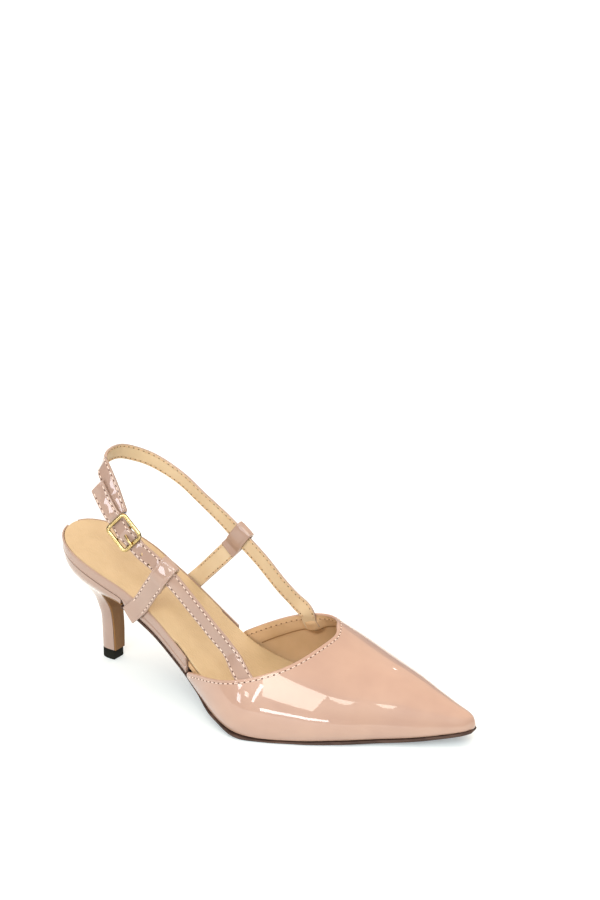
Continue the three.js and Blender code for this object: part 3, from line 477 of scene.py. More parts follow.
class Look:
    """A node material mottled between two colours, with short calls for what the looks share.
    grain is the scale and detail of the noise that mottles it, and its stretch if it has one."""

    def __init__(self, name, dark, pale, grain, roughness, gloss=0.5, metallic=0.0, coat=0.0):
        self.material = bpy.data.materials.new(name)
        self.material.use_nodes = True
        self.tree = self.material.node_tree
        self.shader = self.tree.nodes["Principled BSDF"]
        self.place = self.tree.nodes.new("ShaderNodeTexCoord").outputs["Object"]
        self.height = None
        self.put("Base Color", pale)
        self.put("Roughness", roughness)
        self.put("Specular IOR Level", gloss)
        self.put("Metallic", metallic)
        self.put("Coat Weight", coat)
        self.tint(self.noise(*grain), dark, pale)

    def put(self, socket, value):
        self.shader.inputs[socket].default_value = value

    def join(self, a, b):
        self.tree.links.new(a, b)

    def node(self, kind, sockets, entry, value):
        """A new node with these socket values, and with a value joined to its entry."""
        node = self.tree.nodes.new("ShaderNode" + kind)
        for name, number in sockets.items():
            node.inputs[name].default_value = number
        self.join(value, node.inputs[entry])
        return node

    def noise(self, scale, detail, stretch=None):
        place = self.place
        if stretch:
            place = self.node("Mapping", {"Scale": stretch}, "Vector", place).outputs["Vector"]
        return self.node("TexNoise", {"Scale": scale, "Detail": detail}, "Vector", place).outputs["Fac"]

    def pores(self, scale):
        return self.node("TexVoronoi", {"Scale": scale}, "Vector", self.place).outputs["Distance"]

    def waves(self, scale):
        node = self.node("TexWave", {"Scale": scale}, "Vector", self.place)
        node.bands_direction = 'DIAGONAL'
        return node.outputs["Fac"]

    def spread(self, value, low, high):
        """The middle of a noise, spread between two values."""
        ends = {"From Min": 0.3, "From Max": 0.7, "To Min": low, "To Max": high}
        return self.node("MapRange", ends, "Value", value).outputs["Result"]

    def tint(self, value, dark, pale):
        """Colours between two tints, by a noise."""
        node = self.tree.nodes.new("ShaderNodeMix")
        node.data_type = 'RGBA'
        node.inputs["A"].default_value = dark
        node.inputs["B"].default_value = pale
        self.join(self.spread(value, 0, 1), node.inputs["Factor"])
        self.join(node.outputs["Result"], self.shader.inputs["Base Color"])

    def rough(self, value, low, high):
        self.join(self.spread(value, low, high), self.shader.inputs["Roughness"])

    def bump(self, value, depth_mm):
        """Adds relief over any that is there, on the coat too."""
        node = self.node("Bump", {"Distance": depth_mm / 1000}, "Height", value)
        if self.height is not None:
            self.join(self.height, node.inputs["Normal"])
        self.height = node.outputs["Normal"]
        self.join(self.height, self.shader.inputs["Normal"])
        if self.shader.inputs["Coat Weight"].default_value > 0:
            self.join(self.height, self.shader.inputs["Coat Normal"])


def patent_look(name, dark, pale):
    look = Look(name, dark, pale, (55, 2), 0.34, gloss=0.3, coat=1.0)
    look.put("Coat Roughness", 0.015)
    look.bump(look.noise(120, 1.5), 0.035)
    look.bump(look.noise(420, 2), 0.004)
    return look.material


def lining_look(name, dark, pale):
    look = Look(name, dark, pale, (60, 5), 0.5, gloss=0.3)
    look.rough(look.noise(300, 3), 0.42, 0.6)
    look.bump(look.pores(1700), 0.05)
    look.bump(look.noise(900, 4), 0.05)
    return look.material


def sole_look():
    look = Look("sole", linear(52, 38, 33), linear(88, 66, 56), (90, 6, (1, 1, 6)), 0.48, gloss=0.2)
    look.rough(look.noise(400, 3), 0.38, 0.6)
    look.bump(look.noise(1200, 4), 0.06)
    return look.material


def breast_look():
    grain = (45, 5, (1, 1, 0.3))
    look = Look("breast_wrap", linear(110, 74, 38), linear(150, 108, 62), grain, 0.5, gloss=0.2)
    look.bump(look.pores(1500), 0.05)
    look.bump(look.noise(500, 4, (1, 1, 0.2)), 0.08)
    return look.material


def tip_look():
    look = Look("heel_tip", linear(19, 20, 15), linear(30, 31, 24), (300, 5), 0.6, gloss=0.08)
    look.bump(look.noise(2500, 3), 0.05)
    return look.material


def gold_look():
    look = Look("buckle", linear(176, 150, 96), linear(206, 182, 132), (250, 3), 0.12, metallic=1.0)
    look.rough(look.noise(700, 3), 0.1, 0.22)
    look.bump(look.noise(1500, 2), 0.006)
    return look.material


# Gold made dark for the frame's upright sides: painted shade.
def shaded_gold_look():
    look = Look("buckle_sides_shade", linear(52, 40, 20), linear(88, 70, 36), (250, 3), 0.28, metallic=1.0)
    look.bump(look.noise(1500, 2), 0.006)
    return look.material


def elastic_look():
    look = Look("elastic", linear(205, 210, 224), linear(238, 241, 248), (1500, 2), 0.85)
    look.bump(look.waves(950), 0.16)
    look.bump(look.noise(3000, 2), 0.05)
    return look.material


def thread_look(name, dark, pale, roughness):
    look = Look(name, dark, pale, (2500, 2), roughness)
    look.bump(look.waves(1600), 0.08)
    return look.material


# The dark discs between stitches: painted shade of the needle holes.
def hole_shade_look(name, dark, pale):
    return Look(name, dark, pale, (1800, 2), 0.8).material


def floor_look():
    look = Look("floor", (0.68, 0.75, 0.785, 1), (0.7, 0.77, 0.795, 1), (3, 2), 0.9, gloss=0)
    look.put("Emission Color", (0.95, 1.0, 1.0, 1))
    look.put("Emission Strength", 0.34)
    return look.material


PATENT = patent_look("patent", linear(171, 138, 121), linear(180, 147, 128))
# A darker, greyer copy of the same pink patent for the heel, rim wrap, straps and loops: painted shade on
# these rear and lower parts.
SHADED_PATENT = patent_look("shaded_patent", linear(156, 129, 115), linear(165, 137, 121))
LINING = lining_look("lining", linear(192, 158, 118), linear(206, 172, 133))
FOOTBED = lining_look("footbed", linear(188, 165, 128), linear(200, 177, 140))
# A darker copy of the lining for the strip along the facing's lower edge: painted shade of its crease.
CREASE_SHADE = lining_look("crease_shade", linear(146, 112, 76), linear(160, 124, 86))
STRAP_LINING = lining_look("strap_lining", linear(198, 174, 138), linear(210, 187, 152))
SOLE = sole_look()
BREAST = breast_look()
TIP = tip_look()
GOLD = gold_look()
SHADED_GOLD = shaded_gold_look()
ELASTIC = elastic_look()
THREAD = thread_look("thread", linear(224, 198, 180), linear(244, 226, 212), 0.6)
TAN_THREAD = thread_look("tan_thread", linear(200, 164, 122), linear(224, 190, 152), 0.7)
# Colours of the discs between stitches: painted shade of the needle holes, on the patent and on the
# lining.
NEEDLE_HOLE_SHADE = hole_shade_look("needle_hole_shade", linear(70, 46, 38), linear(98, 68, 56))
TAN_HOLE_SHADE = hole_shade_look("tan_hole_shade", linear(104, 74, 46), linear(134, 100, 66))


# Stitches

def stitches(name, places, along, out, slot, width):
    """Threads that rise out of the leather and dip back in, one at each place."""
    along, out = unit(along), unit(out)
    across = unit(np.cross(along, out))
    rings, sides = 7, 8
    t = np.linspace(-1, 1, rings)[:, None]
    turn = np.linspace(0, 2 * math.pi, sides, endpoint=False)[None, :]
    girth = np.sqrt(np.maximum(1 - np.abs(t) ** 3, 0.02))
    lift = STITCH_HEIGHT * (1 - t ** 2) - STITCH_DIP
    forward = (t * STITCH_LENGTH / 2 + 0 * turn)[..., None]
    sideways = (girth * np.sin(turn) * width / 2)[..., None]
    upward = (lift + girth * np.cos(turn) * width / 2 * STITCH_FLATNESS)[..., None]
    pattern = [p.reshape(-1, 1) for p in (forward, sideways, upward)]
    points = (places[:, None, :] + pattern[0] * along[:, None, :] + pattern[1] * across[:, None, :]
              + pattern[2] * out[:, None, :])
    one = grid_faces(rings, sides, True)
    faces = np.concatenate([one + k * rings * sides for k in range(len(places))])
    look = TAN_THREAD if slot == "lining" else THREAD
    piece(name, points.reshape(-1, 3), faces, [look], slot)


def needle_hole_shades(name, places, along, out, slot, size):
    """Small dark discs where the needle went in, between the threads: painted shade of the needle holes.
    """
    along, out = unit(along), unit(out)
    across = unit(np.cross(along, out))
    turn = np.linspace(0, 2 * math.pi, MARK_SIDES, endpoint=False)
    ring = (np.cos(turn)[:, None] * along[:, None, :] * size
            + np.sin(turn)[:, None] * across[:, None, :] * size * MARK_FLATNESS)
    points = np.concatenate([places[:, None, :] + ring + out[:, None, :] * 0.01,
                             (places + out * 0.06)[:, None, :]], 1)
    each = MARK_SIDES + 1
    faces = [(k * each + s, k * each + (s + 1) % MARK_SIDES, k * each + MARK_SIDES)
             for k in range(len(places)) for s in range(MARK_SIDES)]
    look = TAN_HOLE_SHADE if slot == "lining" else NEEDLE_HOLE_SHADE
    piece(name, points.reshape(-1, 3), faces, [look], slot)


def sew(name, line, out, slot, width=STITCH_WIDTH):
    """A stitched row along a line: threads, with dark discs of painted needle-hole shade between them."""
    total = lengths(line)[-1]
    count = max(int(total / STITCH_PITCH), 2)
    middles = (np.arange(count) + 0.5) * total / count
    between = np.arange(1, count) * total / count
    step = 0.2
    for kind, where, make, size in (("thread", middles, stitches, width),
                                    ("marks", between, needle_hole_shades, MARK_SIZE)):
        places = at_lengths(line, where)
        along = at_lengths(line, where + step) - at_lengths(line, where - step)
        normal = np.stack([np.interp(where, lengths(line), out[:, k]) for k in range(3)], -1)
        make(f"{name}_{kind}", places, along, normal, slot, size)


# Sole layers

def stations(start, end, body=130):
    """Stations along the footbed, close together round the seat and the toe."""
    angle = np.linspace(0.012, 1, 26) * math.pi / 2
    seat = SEAT_ROUND * (1 - np.cos(angle))
    toe_start = TOE_END - TOE_ROUND
    middle = np.linspace(SEAT_ROUND, toe_start, body)[1:]
    toe = toe_start + TOE_ROUND * np.sin(np.linspace(0, 1, 12)[1:] * math.pi / 2 * 0.985)
    every = np.concatenate([seat, middle, toe])
    inside = every[(every > start + 0.2) & (every < end - 0.2)]
    first = [start] if start > 0 else []
    last = [end] if end < TOE_END else []
    return np.concatenate([first, inside, last])


def layer_rings(x, profile):
    """Rings from a profile of offset, depth under the footbed, share inward, stacked first."""
    sides = []
    for side in (-1, 1):
        edge_x, edge_y = outline(x, side, profile[..., 0])
        run = mix(edge_x, x, profile[..., 2])
        y = mix(edge_y, footbed_mid(x), profile[..., 2])
        sides.append(stack(run, y, footbed_z(run) - profile[..., 1]))
    return np.concatenate([sides[0], sides[1][::-1]]).transpose(1, 0, 2)


def layer(x, rows, radius, steps):
    """The rings of a layer, from rows of offset, depth and share inward, with rounded corners."""
    profile = [stack(*[np.broadcast_to(v, x.shape) for v in row]) for row in rows]
    return layer_rings(x, rounded(profile, radius, steps))


def sock_lining():
    x = stations(0, TOE_END - INNER_TOE_GAP)
    inset = smooth(x, VAMP_REAR - 13, VAMP_REAR - 11)
    crown = [(-inset, -0.5 * (1 - (1 - s) ** 2) + 0.1 * (1 - s), s) for s in np.linspace(1, 0.04, 14)]
    rows = crown + [(-inset - 0.1, 0.15, 0), (-inset, 0.9, 0), (-inset, SOCK_THICKNESS, 0),
                    (-inset, SOCK_THICKNESS, 0.9)]
    tube_piece("sock_lining_pad", layer(x, rows, 0.5, 3), [FOOTBED], "lining", "sock_lining")


def insole_board():
    """The board's wrapped edge: a rim round the lining, which splits in two bands at the waist."""
    floor = SOCK_THICKNESS + LAYER_GAP
    outer = RIM_START + RIM_WIDTH
    x = stations(0, VAMP_REAR - 2, 240)
    waist = smooth(x, HEEL_WING_END, HEEL_WING_END + 3.5)
    groove = 0.55 * smooth(x, HEEL_WING_END, HEEL_WING_END + 9)
    low = mix(SEAT_EDGE, WAIST_EDGE, waist)
    rows = [
        (RIM_START, floor, 0.9), (RIM_START, floor, 0), (RIM_START, 0.35, 0),
        (RIM_START + 0.35, 0.1, 0), (outer - 0.3, 0.15, 0), (outer, 0.8, 0),
        (outer, SEAT_EDGE - 1.1, 0), (outer - groove, SEAT_EDGE - 0.5, 0),
        (outer - groove * 0.1, SEAT_EDGE - 0.4 + 0.75 * waist, 0),
        (outer - 0.3 * groove, low, 0), (RIM_START, low, 0.9),
    ]
    # The rim wrap takes the darker patent: painted shade.
    tube_piece("rim_wrap", layer(x, rows, 0.4, 4), [SHADED_PATENT], "patent", "insole_board")
    x = stations(VAMP_REAR - 1.95, TOE_END - INNER_TOE_GAP)
    rows = [(-0.8, floor, 0.9), (-0.8, floor, 0), (-0.5, floor + 0.3, 0), (-0.5, BALL_EDGE - 0.4, 0),
            (-0.5, BALL_EDGE, 0), (-0.8, BALL_EDGE, 0.9)]
    tube_piece("insole_forepart", layer(x, rows, 0.3, 3), [LINING], "lining", "insole_board")


def outsole():
    x = stations(HEEL_WING_END + GAP, TOE_END, 160)
    forepart = smooth(x, VAMP_REAR - 4, VAMP_REAR + 14)
    edge = mix(FEATHER_OFFSET - 0.6, FEATHER_OFFSET + 0.7, forepart)
    top = feather_z(x) - LAYER_GAP
    bottom = np.maximum(0, top - OUTSOLE_THICKNESS)
    z = footbed_z(x)
    rows = [(edge - 0.5, z - top, 0.9), (edge - 0.4, z - top, 0), (edge, z - mix(top, bottom, 0.15), 0),
            (edge, z - mix(top, bottom, 0.55), 0), (edge - 0.6, z - mix(top, bottom, 0.9), 0),
            (edge - 1.6, z - bottom, 0), (edge - 1.6, z - bottom, 0.9)]
    rings = layer(x, rows, 0.5, 4)
    rings[..., 2] = np.maximum(rings[..., 2], 0)
    tube_piece("outsole_sheet", rings, [SOLE], "sole", "outsole")


# Heel

def neck_point(share, depth, half, middle, front=BREAST_FRONT):
    angle = np.abs(share) * math.pi / 2
    return front - depth * np.cos(angle), middle + np.sign(share) * half * np.sin(angle) ** 0.8


def seat_point(share):
    x = (HEEL_WING_END - 0.1) * (1 - np.cos(np.abs(share) * math.pi / 2))
    return outline(np.maximum(x, 0.02), np.where(share < 0, -1, 1), 1.0)


def heel_rings(reach):
    """Rings of the heel from its outer front corner round the back to its inner one."""
    share = np.linspace(-1, 1, 96)
    rings = []
    for z in np.linspace(TIP_HEIGHT + GAP, FLARE_START, 8)[:-1]:
        grown = (z - TIP_HEIGHT - GAP) / (FLARE_START - TIP_HEIGHT - GAP)
        x, y = neck_point(share, mix(TIP_DEPTH, NECK_DEPTH, grown), mix(TIP_HALF, NECK_HALF, grown),
                          mix(HEEL_MIDDLE, NECK_MIDDLE, grown))
        rings.append(stack(x, y, z))
    neck_x, neck_y = neck_point(share, NECK_DEPTH, NECK_HALF, NECK_MIDDLE)
    seat_x, seat_y = seat_point(share)
    seam = footbed_z(seat_x) - SEAT_EDGE - LAYER_GAP
    for at in np.linspace(0, 1, 60):
        flare = mix(through(FLARE_ROWS, 'back', at), through(FLARE_ROWS, 'front', at),
                    np.abs(share) ** 1.5)
        rings.append(stack(mix(neck_x, seat_x, flare), mix(neck_y, seat_y, flare),
                           mix(FLARE_START, seam, at)))
    rings = blur(np.array(rings), 6, (0,))
    if reach:
        ahead = np.array([reach, 0, 0])
        rings = np.concatenate([rings[:, :1] + ahead, rings, rings[:, -1:] + ahead], 1)
    return rings


def breast_line(offset):
    """The breast's curve in X and Z, moved forward and down by an offset."""
    line = spline(stack(BREAST_ROWS['forward'] * HEEL_WING_END, 0, BREAST_ROWS['up'] * SEAT_HEIGHT), 60)
    tangent = unit(np.gradient(line, axis=0))
    return stack(line[:, 0] + tangent[:, 2] * offset, line[:, 2] - tangent[:, 0] * offset)


def heel():
    line = breast_line(0)
    ahead = HEEL_WING_END + 40
    front = np.vstack([[line[0, 0], -5], line, [ahead, line[-1, 1]], [ahead, -5]])
    # The heel cover takes the darker patent: painted shade.
    obj = tube_piece("heel_cover", heel_rings(0), [SHADED_PATENT], "patent", "heel")
    cut(obj, prism(front, 80), 'DIFFERENCE')
    sharpen(obj, 45)
    strip = np.vstack([breast_line(GAP), breast_line(GAP + BREAST_COVER)[::-1]])
    rings = heel_rings(HEEL_WING_END)
    obj = tube_piece("breast_cover", rings, [BREAST], "breast_wrap", "heel_breast")
    cut(obj, prism(strip, 80), 'INTERSECT')
    sharpen(obj, 45)


def heel_tip():
    share = np.linspace(-1, 1, 64)
    rings = []
    for z, inset in ((0, 0.5), (0.15, 0.22), (0.5, 0.04), (0.9, 0), (3, 0), (TIP_HEIGHT - 0.3, 0),
                     (TIP_HEIGHT, 0.2)):
        x, y = neck_point(share, TIP_DEPTH - 2 * inset, TIP_HALF - inset, HEEL_MIDDLE,
                          BREAST_FRONT - inset)
        rings.append(stack(x, y, z))
    sharpen(tube_piece("heel_top_piece", rings, [TIP], "heel_tip", "heel_tip"), 50)


# Vamp

def ridge_point(x):
    at = x / FOOTBED_LENGTH
    return through(UPPER_ROWS, 'mid', at) * SWING, through(UPPER_ROWS, 'ridge', at) * INSTEP_HEIGHT


def upper_point(x, side, share):
    """A point of the upper's outer face. share is 0 at the feather line and 1 on the ridge."""
    x, side, share = np.broadcast_arrays(np.asarray(x, float), side, share)
    low = feather_z(x)
    ridge_y, ridge_z = ridge_point(x)
    tuck = TUCK_SHARE * (ridge_z - low)
    bulge = WALL_BULGE * np.minimum(1, (ridge_z - low) / (0.6 * INSTEP_HEIGHT))
    turn = 0.12
    up = np.clip(share / turn, 0, 1)
    low_x, low_y = outline(x, side, FEATHER_OFFSET + bulge * (1 - (1 - up) ** 2))
    under = stack(low_x, low_y, low + tuck * up)
    angle = (share - turn) / (1 - turn) * math.pi / 2
    edge_x, edge_y = outline(x, side, FEATHER_OFFSET + bulge)
    out = np.maximum(0, np.cos(angle))
    above = stack(mix(x, edge_x, out), mix(ridge_y, edge_y, out),
                  mix(low + tuck, ridge_z, np.sin(angle)))
    return np.where((share < turn)[..., None], under, above)


def upper_inside(x, side, share, depth):
    """The same point, moved inwards through the wall."""
    step = 0.01
    along = upper_point(x + 0.1, side, share) - upper_point(x - 0.1, side, share)
    girth = (upper_point(x, side, np.minimum(1, share + step))
             - upper_point(x, side, np.maximum(0, share - step)))
    normal = unit(np.cross(along, girth)) * -np.asarray(side, float)[..., None]
    flat = np.broadcast_to(np.asarray(share) <= 0, normal.shape[:-1])
    normal[..., 2] = np.where(flat, 0, normal[..., 2])
    top = np.broadcast_to(np.asarray(share) >= 1, normal.shape[:-1])
    normal[..., 1] = np.where(top, 0, normal[..., 1])
    return upper_point(x, side, share) - unit(normal) * np.asarray(depth, float)[..., None]


def topline_start(side, share):
    """Where the topline starts on each girth line."""
    def over(x):
        at = x / FOOTBED_LENGTH
        top = np.where(side < 0, through(TOPLINE_ROWS, 'outer', at), through(TOPLINE_ROWS, 'inner', at))
        return upper_point(x, side, share)[..., 2] - top * INSTEP_HEIGHT
    low = np.full(share.shape, float(VAMP_REAR))
    high = np.full(share.shape, float(THROAT_LIMIT))
    from_rear = over(low) > 0
    for _ in range(40):
        middle = (low + high) / 2
        ahead = over(middle) > 0
        low = np.where(ahead, middle, low)
        high = np.where(ahead, high, middle)
    return np.where(from_rear, low, VAMP_REAR)


def vamp_grids():
    """The outer and inner faces as grids, from the topline to the toe and across the girth."""
    half = 1 - np.cos(np.linspace(0, 1, 80) * math.pi / 2)
    half = mix(np.linspace(0, 1, 80), half, 0.35)
    share = np.concatenate([half, half[-2::-1]])
    side = np.concatenate([-np.ones(80), np.ones(79)])
    start = topline_start(side, share)
    run = np.linspace(0, 1, 190)
    along = mix(run, 1 - (1 - run) ** 2.2, 0.75)
    along = along / along[-1] * 0.9996
    outer_x = mix(start[None, :], TOE_END, along[:, None])
    outer = upper_point(outer_x, side[None, :], share[None, :])
    inner_x = mix(start[None, :], TOE_END - INNER_TOE_GAP + 2, along[:, None])
    return share, side, outer, inner_x


def nearest(points, line):
    """Distance from each point to the nearest point of a line."""
    shape = points.shape[:-1]
    flat = points.reshape(-1, 3)
    best = np.full(len(flat), 1e9)
    for p in line:
        best = np.minimum(best, ((flat - p) ** 2).sum(1))
    return np.sqrt(best).reshape(shape)


def rolled_edge(outer_edge, inner_edge, back):
    """Rows that turn from the outer face over the topline to the inner face."""
    steps, fullness = 9, 0.75
    middle = (outer_edge + inner_edge) / 2
    across = (outer_edge - inner_edge) / 2
    radius = np.linalg.norm(across, axis=-1, keepdims=True)
    rows = []
    for angle in np.linspace(0, math.pi, steps)[1:-1]:
        rows.append(middle + across * math.cos(angle) + back * radius * fullness * math.sin(angle))
    return np.array(rows)


def vamp():
    share, side, outer, inner_x = vamp_grids()
    outer = blur(outer, 30)
    wall = np.full(inner_x.shape, float(WALL))
    facing = upper_inside(inner_x, side[None, :], share[None, :], wall)
    away = nearest(facing, facing[0])
    depth = wall + FACING_STEP * (smooth(away, 0.2, 2.0) - smooth(away, 8.0, 8.9))
    for root_rows, root_side in ((FRONT_ROOT_ROWS, -1), (BACK_ROOT_ROWS, 1)):
        ends = np.array([root_point(row, root_side) for row in root_rows])
        near = nearest(facing, evenly(ends, 12))
        rise = (ROOT_DEPTH + STRAP_THICKNESS / 2 + GAP - WALL) * (1 - smooth(near, 3.9, 5.6))
        same_side = (side == root_side)[None, :]
        depth = depth + np.where(same_side, rise * smooth(away, 0.4, 3.0), 0)
    inner = upper_inside(inner_x, side[None, :], share[None, :], depth)
    inner = np.concatenate([blur(inner[:1], 12, (1,)), blur(inner, 2)[1:]])
    back = unit(outer[0] - outer[2])
    edge = rolled_edge(outer[0], inner[0], back)
    columns = outer.shape[1]
    sheet = np.concatenate([outer[::-1], edge])
    points = sheet.reshape(-1, 3)
    faces = list(grid_faces(len(sheet), columns))
    half = (columns - 1) // 2
    for j in range(half):
        k = columns - 1 - j
        faces.append((j, k, k - 1, j + 1) if k - 1 > j + 1 else (j, k, j + 1))
    piece("vamp_patent", points, faces, [PATENT], "patent", ["vamp"])
    sheet_piece("vamp_lining", np.concatenate([edge[-1:], inner]), LINING, "lining", ["vamp"])
    for name, low, high in (("outer", outer[:, :1], inner[:, :1]),
                            ("inner", inner[:, -1:], outer[:, -1:])):
        sheet_piece(f"vamp_lip_{name}", np.concatenate([low, high], 1), LINING, "lining", ["vamp"])
    return outer, inner


def grid_normals(grid, outward_from):
    """Unit normals of a grid, pointing away from a point."""
    normal = unit(np.cross(np.gradient(grid, axis=0), np.gradient(grid, axis=1)))
    away = np.einsum('...k,...k->...', normal, grid - outward_from)
    return normal * np.where(away < 0, -1, 1)[..., None]


def topline_seams(outer, inner):
    """Stitches on both sides of the topline, and the painted shade of the crease where the facing ends.
    """
    seams = (("topline", outer, 1, TOPLINE_SEAM, "patent"),
             ("topline_inside", inner, -1, INSIDE_SEAM, "lining"))
    keep = slice(6, -6)
    for name, grid, way, distance, slot in seams:
        line, out = level_line(grid, grid_normals(grid, VAMP_MIDDLE) * way, distance)
        sew(name, line[keep] + out[keep] * SEAM_LIFT, out[keep], slot)
    keep = slice(14, -14)
    line, out = level_line(inner, -grid_normals(inner, VAMP_MIDDLE), FACING_DEPTH)
    crease(line[keep], out[keep])


def crease(line, out):
    """A dark strip along the lower edge of the facing: painted shade of its crease."""
    across = unit(np.cross(unit(np.gradient(line, axis=0)), out))
    rows = [line + across * side + out * lift for side, lift in
            ((-0.6, -0.08), (-0.25, 0.1), (0.25, 0.1), (0.6, -0.08))]
    sheet_piece("facing_crease_shade", np.stack(rows, 1), CREASE_SHADE, "lining")


def level_line(grid, normals, distance):
    """The line of a grid whose points lie one distance from its first row."""
    away = nearest(grid[:60], evenly(grid[0], 400))
    line, out = [], []
    for j in range(grid.shape[1]):
        run = away[:, j]
        i = int(np.argmax(run > distance))
        t = (distance - run[i - 1]) / (run[i] - run[i - 1]) if i else 0
        line.append(mix(grid[max(i - 1, 0), j], grid[i, j], t))
        out.append(mix(normals[max(i - 1, 0), j], normals[i, j], t))
    return np.array(line), unit(np.array(out))


# Straps

def strap_point(row):
    at, side, up = row
    return np.array([at * FOOTBED_LENGTH, side * ANKLE_HALF, mix(BALL_LEVEL, STRAP_TOP, up)])


def strap_up(centre):
    ankle = unit(np.array([ANKLE_AT - centre[0], -centre[1], 0]))
    lean = STRAP_LEAN if centre[1] < 0 else through(INNER_LEAN_ROWS, 'lean', centre[2] / STRAP_TOP)
    return unit(ankle * math.tan(math.radians(lean)) + np.array([0, 0, 1]))


BUCKLE_CENTRE = strap_point((0.2345, -0.984, 0.7496))
pitch, yaw = math.radians(BUCKLE_PITCH), math.radians(BUCKLE_YAW)
BUCKLE_ALONG = np.array([-math.cos(pitch) * math.cos(yaw), -math.cos(pitch) * math.sin(yaw),
                         math.sin(pitch)])
BUCKLE_OUT = unit(np.cross(strap_up(BUCKLE_CENTRE), BUCKLE_ALONG))
BUCKLE_ACROSS = unit(np.cross(BUCKLE_OUT, BUCKLE_ALONG))
UNDER_BAR = BUCKLE_THICKNESS / 2 + 1.6 * GAP + STRAP_THICKNESS / 2
BAR_AT = (BUCKLE_LENGTH - BUCKLE_BAR) / 2
OVER_BAR = -CENTRE_DROP + CENTRE_BAR + GAP + STRAP_THICKNESS / 2
ROOT_DEPTH = WALL + 4 * GAP + STRAP_THICKNESS / 2
LAYER_STEP = STRAP_THICKNESS + 2 * GAP


def on_buckle(along, out, across=0):
    along, out, across = (np.asarray(v, float)[..., None] for v in (along, out, across))
    return BUCKLE_CENTRE + along * BUCKLE_ALONG + out * BUCKLE_OUT + across * BUCKLE_ACROSS


def beside_buckle(centre):
    reach = np.linalg.norm(centre - BUCKLE_CENTRE) / BUCKLE_LENGTH
    low, high = (1.8, 2.8) if centre[2] > BUCKLE_CENTRE[2] else (0.7, 1.4)
    return mix(-BUCKLE_ACROSS, strap_up(centre), smooth(reach, low, high))


def root_point(row, side):
    return upper_inside(np.array(row[0] * FOOTBED_LENGTH), np.array(side), np.array(row[1]),
                        np.array(ROOT_DEPTH))


def strap_width_at(row, side, centre):
    run, step = 6, 0.06
    x, girth = row[0] * FOOTBED_LENGTH, row[1]
    wall_up = unit(upper_point(x + run, side, girth + step) - upper_point(x - run, side, girth - step))
    away = np.linalg.norm(centre - root_point(row, side))
    return mix(wall_up, strap_up(centre), smooth(away, 9, 26))


def dent_at(across, half, depth):
    """The groove that a row of stitches presses into a strap's face."""
    return depth * np.exp(-((np.abs(across) - half + SEAM_MARGIN) / 0.3) ** 2)


def strap_section(width, thickness, crown):
    """A strap's section as across and outward distances, and which part is the lining."""
    half, thin = width / 2, thickness / 2
    radius = min(0.5, thin * 0.8)
    across = np.linspace(-half + radius, half - radius, 26)
    dent = dent_at(across, half, SEAM_GROOVE)
    face = stack(across, thin + crown * (1 - (across / half) ** 2) - dent)
    turn = np.linspace(0, math.pi / 2, 6)
    upper = stack(half - radius + radius * np.sin(turn), thin - radius + radius * np.cos(turn))
    lower = stack(half - radius * 0.6 + radius * 0.6 * np.cos(turn),
                  -thin + radius * 0.6 - radius * 0.6 * np.sin(turn))
    under_across = np.linspace(half - radius, -half + radius, 22)[1:-1]
    under = stack(under_across, -thin + dent_at(under_across, half, SEAM_GROOVE * 0.6))
    right = np.vstack([upper[1:], lower])
    left = right[::-1] * np.array([-1, 1])
    section = np.vstack([face, right, under, left])
    lining = np.zeros(len(section), int)
    lining[len(face) + len(right) - 2:len(face) + len(right) + len(under) + 1] = 1
    return section, lining


class Band:
    """A strap swept along its middle line. out is the side away from the foot."""

    def __init__(self, points, width, thickness, count, up_at, outward=-1, skew=0.0):
        self.width, self.thickness = width, thickness
        self.line = spline(points, count)
        self.tangent = unit(np.gradient(self.line, axis=0))
        total = lengths(self.line)[-1]
        shares = lengths(self.line) / total
        up = np.array([up_at(c, s) for c, s in zip(self.line, shares)])
        up = up - (up * self.tangent).sum(1)[:, None] * self.tangent
        self.up = unit(blur(unit(up), 8, (0,)))
        self.out = unit(np.cross(self.tangent, self.up)) * outward
        self.run = lengths(self.line)
        self.skew = skew * smooth(self.run, total - 8, total)

    def at(self, across, outward):
        """Points on the band at distances across and out from its middle line."""
        shift = self.skew * across / (self.width / 2)
        return (self.line + self.up * across + self.out * outward + self.tangent * shift[:, None])

    # Straps and loops take the darker patent unless told otherwise: painted shade.
    def build(self, name, slot, node, materials=(SHADED_PATENT, STRAP_LINING), crown=0.12):
        section, lining = strap_section(self.width, self.thickness, crown)
        rings = np.stack([self.at(a, b) for a, b in section], 1)
        ends = []
        for end, way in ((0, -1), (-1, 1)):
            middle = rings[end].mean(0)
            ends.append(middle + (rings[end] - middle) * 0.93 + self.tangent[end] * way * 0.22)
        rings = np.concatenate([ends[0][None], rings, ends[1][None]])
        return tube_piece(name, rings, materials, slot, node, lining)

    def sew_edges(self, name, face_run, back_run):
        """Stitched rows along both edges, on the face and on the back. Each run is the distances
        from the band's start between which its rows lie."""
        edge = self.width / 2 - SEAM_MARGIN
        for label, across in (("low", -edge), ("high", edge)):
            for back, side, run, slot in (("", 1, face_run, "patent"), ("_back", -1, back_run, "lining")):
                line = self.at(across, side * self.thickness / 2)
                keep = (self.run >= run[0]) & (self.run <= run[1])
                sew(f"{name}{back}_{label}", line[keep], self.out[keep] * side, slot,
                    STRAP_STITCH_WIDTH)


def round_cutter(places, axis, radius, depth=6, sides=24):
    """A cutter of short rods along one axis."""
    axis = unit(axis)
    a = unit(np.cross(axis, [0.3, 0.5, 0.8]))
    b = np.cross(axis, a)
    points, faces = [], []
    for place in places:
        first = len(points)
        for end in (-1, 1):
            for turn in np.linspace(0, 2 * math.pi, sides, endpoint=False):
                points.append(place + axis * end * depth / 2 + radius * (a * math.cos(turn)
                                                                      + b * math.sin(turn)))
        faces += [[first + k, first + (k + 1) % sides, first + sides + (k + 1) % sides,
                   first + sides + k] for k in range(sides)]
        faces.append([first + k for k in range(sides)][::-1])
        faces.append([first + sides + k for k in range(sides)])
    return solid(np.array(points), faces)


